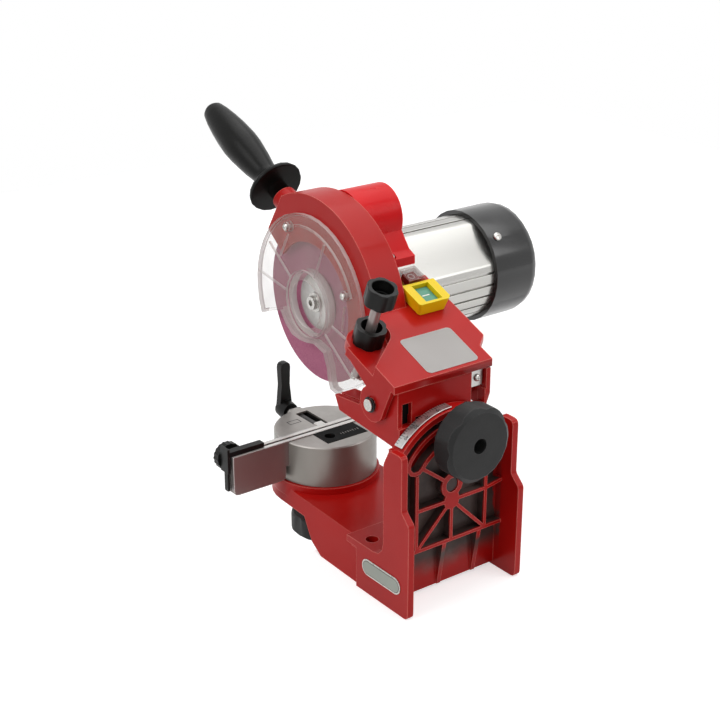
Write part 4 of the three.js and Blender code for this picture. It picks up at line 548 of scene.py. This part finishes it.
# Width of the broken edge on each node, in metres; a node that isn't named has the usual one
EDGE_BREAK = 0.0004
edge_break = {
    "return_spring": 0.0, "stator_core": 0.0, "rotor_shaft": 0.0, "front_bearing": 0.0, "rear_bearing": 0.0,
    "handle_grip": 0.0, "stop_adjust_knob": 0.0002, "depth_screw": 0.0003, "grinding_wheel": 0.0003,
    "motor_housing": 0.0003, "wheel_guard": 0.0005, "fixed_jaw": 0.0005, "movable_jaw": 0.0005,
    "motor_end_cap": 0.0006, "switch_bezel": 0.0006, "head_casting": 0.0008, "tilt_bracket": 0.0008,
    "vise_disc": 0.0008, "clamp_lever": 0.0008, "depth_knob": 0.0008, "depth_lock_knob": 0.0008,
    "base_casting": 0.0009, "capacitor_cover": 0.0012, "tilt_clamp_knob": 0.0012, "vise_lock_knob": 0.0012,
}
for node in nodes:
    dress(node, own_look.get(node, looks[slot_of[node]]), edge_break.get(node, EDGE_BREAK))


# Small flat pieces: plates, marks and scales. Sizes in millimetres
def plate_height(y):
    """Height of the head's sloping top plate at a distance along Y."""
    return WHEEL_Z + PLATE_DROP + (PLATE_BACK + WHEEL_Y - y) * math.tan(SLOPE)


def on_slope(x, y):
    return Matrix.Translation((x * MM, y * MM, plate_height(y) * MM)) @ Matrix.Rotation(-SLOPE, 4, "X")


def rounded_outline(width, depth, radius, steps=6):
    points = []
    for k, (sx, sy) in enumerate(((1, 1), (-1, 1), (-1, -1), (1, -1))):
        for step in range(steps + 1):
            angle = math.radians(90 * k + 90 * step / steps)
            points.append((sx * (width / 2 - radius) + radius * math.cos(angle),
                           sy * (depth / 2 - radius) + radius * math.sin(angle)))
    return points


def bar(x, y, width, depth):
    left, right = x - width / 2, x + width / 2
    front, back = y - depth / 2, y + depth / 2
    return [(left, front), (right, front), (right, back), (left, back)]


def prisms(name, outlines, thick, place, material, body, bevel=0.0):
    """Upright prisms in millimetres from closed outlines, joined in one piece and set down by a matrix."""
    mesh = bpy.data.meshes.new(name)
    work = bmesh.new()
    for outline in outlines:
        base = [work.verts.new((x * MM, y * MM, 0.0)) for x, y in outline]
        face = work.faces.new(base)
        grown = bmesh.ops.extrude_face_region(work, geom=[face])
        moved = [v for v in grown["geom"] if isinstance(v, bmesh.types.BMVert)]
        bmesh.ops.translate(work, verts=moved, vec=(0.0, 0.0, thick * MM))
    bmesh.ops.recalc_face_normals(work, faces=work.faces)
    work.transform(place)
    work.to_mesh(mesh)
    work.free()
    soften(new_object(name, mesh, material, body), bevel, MARK_ANGLE)


# Bare rating plate on the head
LABEL_AT = (-12.8, 7.5)
LABEL_SIZE = (52.2, 41.9)
LABEL_CORNER = 4.0
LABEL_THICK = 0.35
LABEL_LIFT = 0.05
label_place = on_slope(*LABEL_AT) @ Matrix.Translation((0, 0, LABEL_LIFT * MM))
label_outline = rounded_outline(*LABEL_SIZE, LABEL_CORNER)
prisms("bare_rating_plate", [label_outline], LABEL_THICK, label_place, bare_plate, "head",
       bevel=0.00012)

# Bare badge on the base's flank: a rim, a dark line and a field, each a step higher and smaller
BADGE_AT = (28.0, 24.8)
BADGE_SIZE = (50.0, 14.6)
BADGE_CORNER_SPARE = 0.05
BADGE_STEPS = 10
BADGE_LIFT = 0.00002
BADGE_TURN = Matrix(((0, 0, 1, 0), (1, 0, 0, 0), (0, 1, 0, 0), (0, 0, 0, 1)))
flank_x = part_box("base_casting")[1][0] + BADGE_LIFT
badge_place = Matrix.Translation((flank_x, BADGE_AT[0] * MM, BADGE_AT[1] * MM)) @ BADGE_TURN


def badge_layer(name, inset, thick, material):
    """One level of the badge: a stadium, smaller than the badge all round by the inset."""
    width, depth = (size - 2 * inset for size in BADGE_SIZE)
    outline = rounded_outline(width, depth, depth / 2 - BADGE_CORNER_SPARE, BADGE_STEPS)
    prisms(name, [outline], thick, badge_place, material, "base")


badge_layer("bare_badge_rim", inset=0.0, thick=0.6, material=badge_edge)
badge_layer("bare_badge_line", inset=1.3, thick=0.7, material=badge_line)
badge_layer("bare_badge_field", inset=1.8, thick=0.8, material=badge_face)

# Bar and ring on the two buttons
SWITCH_AT = (-37.35, -51.5)
ON_AT = 8.9
ON_TOP = 7.6
OFF_AT = -13.4
OFF_TOP = 10.5
MARK_THICK = 0.12
ON_BAR = (7.5, 1.1)
RING_INNER = 2.3
RING_OUTER = 3.2
RING_STEPS = 24


def on_switch(y, height):
    return on_slope(*SWITCH_AT) @ Matrix.Translation((0, y * MM, (GAP + height) * MM))


def ring_sector(k):
    start = math.radians(360 / RING_STEPS * k)
    end = math.radians(360 / RING_STEPS * (k + 1))
    corners = ((RING_INNER, start), (RING_OUTER, start), (RING_OUTER, end), (RING_INNER, end))
    return [(r * math.cos(a), r * math.sin(a)) for r, a in corners]


prisms("on_mark", [bar(0, 0, *ON_BAR)], MARK_THICK, on_switch(ON_AT, ON_TOP), mark_white,
       "on_button")
prisms("off_mark", [ring_sector(k) for k in range(RING_STEPS)], MARK_THICK, on_switch(OFF_AT, OFF_TOP),
       mark_white, "off_button")

# Plain frame on the vise disc
FRAME_AT = (17.6, -156.8)
FRAME_LINE = 0.7
FRAME_LONG = 12.0
FRAME_SHORT = 5.4
FRAME_HALF = (5.7, 3.0)
FRAME_THICK = 0.08
frame_bars = ([bar(0, side * FRAME_HALF[1], FRAME_LONG, FRAME_LINE) for side in (1, -1)]
              + [bar(side * FRAME_HALF[0], 0, FRAME_LINE, FRAME_SHORT) for side in (1, -1)])
disc_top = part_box("vise_disc")[1][2]
frame_place = Matrix.Translation((FRAME_AT[0] * MM, FRAME_AT[1] * MM, disc_top))
prisms("disc_marking", frame_bars, FRAME_THICK, frame_place, mark_dark, "vise")

# Row of ticks on the insert, long and short in turn
TICK_AT = (-1.5, -111.4)
TICK_COUNT = 8
TICK_STEP = -2.6
TICK_WIDTH = 0.7
TICK_LENGTHS = (2.2, 3.2)
TICK_THICK = 0.1
ticks = [bar(TICK_STEP * k, 0, TICK_WIDTH, TICK_LENGTHS[k % 2]) for k in range(TICK_COUNT)]
insert_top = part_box("vise_insert")[1][2]
tick_place = Matrix.Translation((TICK_AT[0] * MM, TICK_AT[1] * MM, insert_top))
prisms("insert_ticks", ticks, TICK_THICK, tick_place, mark_grey, "vise")

# A dark sheet behind the window beside the tilt bracket's near arm: painted shade where the bracket's hollow
# shows.
# Its turn is a mirror, so the faces of this one piece point inward.
SHADE_SHEET_BACK = 22.6
SHADE_SHEET_THICK = 1.2
SHADE_SHEET_NEAR = 39.2
SHADE_SHEET_FAR = -26.0
SHADE_SHEET_LOW = 147.0
SHADE_SHEET_HIGH = 170.0
SHADE_SHEET_TURN = Matrix(((1, 0, 0, 0), (0, 0, 1, 0), (0, 1, 0, 0), (0, 0, 0, 1)))
shade_sheet_middle = ((SHADE_SHEET_NEAR + SHADE_SHEET_FAR) / 2, (SHADE_SHEET_LOW + SHADE_SHEET_HIGH) / 2)
shade_sheet_outline = bar(*shade_sheet_middle, SHADE_SHEET_NEAR - SHADE_SHEET_FAR, SHADE_SHEET_HIGH - SHADE_SHEET_LOW)
shade_sheet_place = Matrix.Translation((0.0, (SHADE_SHEET_BACK - SHADE_SHEET_THICK) * MM, 0.0)) @ SHADE_SHEET_TURN
# The sheet takes the insert's near-black look as painted shade.
prisms("bracket_shade_sheet", [shade_sheet_outline], SHADE_SHEET_THICK, shade_sheet_place, insert_black, "bracket",
       bevel=0.0002)

# The tilt scale: a tick every two degrees and a number every ten. Lengths in metres
SCALE_STEP = 2
SCALE_NUMBER_STEP = 10
SCALE_END = 46
SCALE_LONG_TICK = 0.0045
SCALE_SHORT_TICK = 0.0026
SCALE_TICK_HALF = 0.00022
SCALE_LAYERS = (-0.00002, 0.0001)
SCALE_MARGIN = 0.0003
DIGIT_SIZE = 0.0042
DIGIT_THICK_HALF = 0.00006
DIGIT_LIFT = 0.00004
DIGIT_FROM_EDGE = 0.0038
strip_low, strip_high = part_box("tilt_scale_strip")
strip_radius = strip_high[2] - TILT_Z * MM


def on_strip(angle, y):
    turn = Matrix.Rotation(math.radians(angle), 4, "Y")
    return Matrix.Translation((0, 0, TILT_Z * MM)) @ turn @ Matrix.Translation((0, y, strip_radius))


def tick_mesh(work, angle, length):
    half = SCALE_TICK_HALF
    corners = [(-half, 0), (half, 0), (half, length), (-half, length)]
    place = on_strip(angle, strip_low[1] + SCALE_MARGIN)
    low, high = ([work.verts.new(place @ Vector((x, y, z))) for x, y in corners] for z in SCALE_LAYERS)
    work.faces.new(high)
    work.faces.new(low[::-1])
    for k in range(4):
        after = (k + 1) % 4
        work.faces.new((low[k], low[after], high[after], high[k]))


def digit_mesh(work, text, angle):
    curve = bpy.data.curves.new("digits", "FONT")
    curve.body = text
    curve.size = DIGIT_SIZE
    curve.extrude = DIGIT_THICK_HALF
    curve.align_x = "CENTER"
    holder = bpy.data.objects.new("digits", curve)
    bpy.context.collection.objects.link(holder)
    bpy.context.view_layer.update()
    view = bpy.context.evaluated_depsgraph_get()
    shape = bpy.data.meshes.new_from_object(holder.evaluated_get(view))
    place = on_strip(angle, strip_high[1] - DIGIT_FROM_EDGE)
    shape.transform(place @ Matrix.Translation((0, 0, DIGIT_LIFT)))
    work.from_mesh(shape)
    bpy.data.objects.remove(holder)
    bpy.data.curves.remove(curve)
    bpy.data.meshes.remove(shape)


def tilt_scale():
    mesh = bpy.data.meshes.new("tilt_scale_marks")
    work = bmesh.new()
    for degrees in range(SCALE_STEP, SCALE_END + 1, SCALE_STEP):
        numbered = degrees % SCALE_NUMBER_STEP == 0
        tick_mesh(work, degrees, SCALE_LONG_TICK if numbered else SCALE_SHORT_TICK)
    for degrees in range(SCALE_NUMBER_STEP, SCALE_END, SCALE_NUMBER_STEP):
        digit_mesh(work, str(degrees), degrees)
    work.to_mesh(mesh)
    work.free()
    new_object("tilt_scale_marks", mesh, mark_dark, "base")


tilt_scale()

# Stage, light and camera
WHITE = (1, 1, 1, 1)
FLOOR_COLOR = (0.8, 0.8, 0.8, 1)
LIFT_NEAR = 0.62
LIFT_DIP = 0.47
LIFT_FAR = 0.78
DIP_RANGE = (0.25, 0.45)
FAR_RANGE = (0.6, 1.3)


def eye_rays(tree):
    """One for rays that the eye follows: straight, reflected or through a clear piece. Nought for light."""
    path = tree.nodes.new("ShaderNodeLightPath")
    seen = path.outputs["Is Camera Ray"]
    for kind in ("Is Glossy Ray", "Is Transmission Ray"):
        larger = tree.nodes.new("ShaderNodeMath")
        larger.operation = "MAXIMUM"
        tree.links.new(seen, larger.inputs[0])
        tree.links.new(path.outputs[kind], larger.inputs[1])
        seen = larger.outputs["Value"]
    return seen


def stage_material():
    """Pale floor, lifted to white for the eye; the lift grows far from the part, so no far edge shows."""
    g = Graph("floor_pale")
    x, y, _ = g.split(g.place)
    away = g.distance(x, y)
    inner = g.span(away, *DIP_RANGE, LIFT_NEAR, LIFT_DIP, True)
    lifted = g.math("ADD", inner, g.span(away, *FAR_RANGE, 0.0, LIFT_FAR - LIFT_DIP, True))
    g.set(color=FLOOR_COLOR, rough=0.9, spec=0.1)
    g.bsdf.inputs["Emission Color"].default_value = WHITE
    g.link(g.product(eye_rays(g.tree), lifted), g.bsdf.inputs["Emission Strength"])
    return g.material


def slab(name, low, high, material):
    mesh = bpy.data.meshes.new(name)
    work = bmesh.new()
    bmesh.ops.create_cube(work, size=1.0)
    for v in work.verts:
        v.co = Vector([(low[i] + high[i]) / 2 + v.co[i] * (high[i] - low[i]) for i in range(3)])
    work.to_mesh(mesh)
    work.free()
    mesh.materials.append(material)
    obj = bpy.data.objects.new(name, mesh)
    bpy.context.collection.objects.link(obj)


STAGE_REACH = 1.6
BENCH_EDGE_Y = -0.075
BENCH_UNDERSIDE = -0.03
FLOOR_TOP = -0.10
FLOOR_UNDERSIDE = -0.12
floor_look = stage_material()
slab("bench_top", (-STAGE_REACH, BENCH_EDGE_Y, BENCH_UNDERSIDE), (STAGE_REACH, STAGE_REACH, 0.0),
     floor_look)
slab("floor", (-STAGE_REACH, -STAGE_REACH, FLOOR_UNDERSIDE), (STAGE_REACH, STAGE_REACH, FLOOR_TOP),
     floor_look)

# Name, place in metres, side in metres and watts of each square lamp
LAMP_TARGET = Vector((0, -0.08, 0.16))
LAMPS = [
    ("key", (1.35, -0.1, 1.25), 0.9, 9.5),
    ("top", (-0.45, -0.2, 1.85), 1.8, 19.5),
    ("rear", (-0.85, 1.15, 1.2), 1.0, 7),
]


def aim(obj, place, direction):
    obj.location = place
    obj.rotation_mode = "QUATERNION"
    obj.rotation_quaternion = direction.to_track_quat("-Z", "Y")


def lamp(name, place, size, power):
    data = bpy.data.lights.new(name, "AREA")
    data.shape = "RECTANGLE"
    data.size = size
    data.size_y = size
    data.energy = power
    obj = bpy.data.objects.new(name, data)
    bpy.context.collection.objects.link(obj)
    aim(obj, place, LAMP_TARGET - Vector(place))


for row in LAMPS:
    lamp(*row)

WORLD_LIGHT = 0.2
WORLD_SEEN = 1.0


def studio_world():
    """White to the eye, and much dimmer as a light."""
    world = bpy.data.worlds.new("studio")
    bpy.context.scene.world = world
    world.use_nodes = True
    tree = world.node_tree
    background = tree.nodes["Background"]
    background.inputs["Color"].default_value = WHITE
    level = tree.nodes.new("ShaderNodeMapRange")
    level.inputs["To Min"].default_value = WORLD_LIGHT
    level.inputs["To Max"].default_value = WORLD_SEEN
    tree.links.new(eye_rays(tree), level.inputs["Value"])
    tree.links.new(level.outputs["Result"], background.inputs["Strength"])


studio_world()

CAMERA_PLACE = (0.7020, 0.8614, 0.6461)
CAMERA_DIRECTION = Vector((-0.5524, -0.7417, -0.3804))
SENSOR_WIDTH = 36.0
LENS = 75.0
CLIP_END = 50.0
camera_data = bpy.data.cameras.new("camera")
camera_data.sensor_width = SENSOR_WIDTH
camera_data.lens = LENS
camera_data.clip_end = CLIP_END
camera = bpy.data.objects.new("camera", camera_data)
bpy.context.collection.objects.link(camera)
aim(camera, CAMERA_PLACE, CAMERA_DIRECTION)
bpy.context.scene.camera = camera
bpy.context.scene.view_settings.view_transform = "Standard"
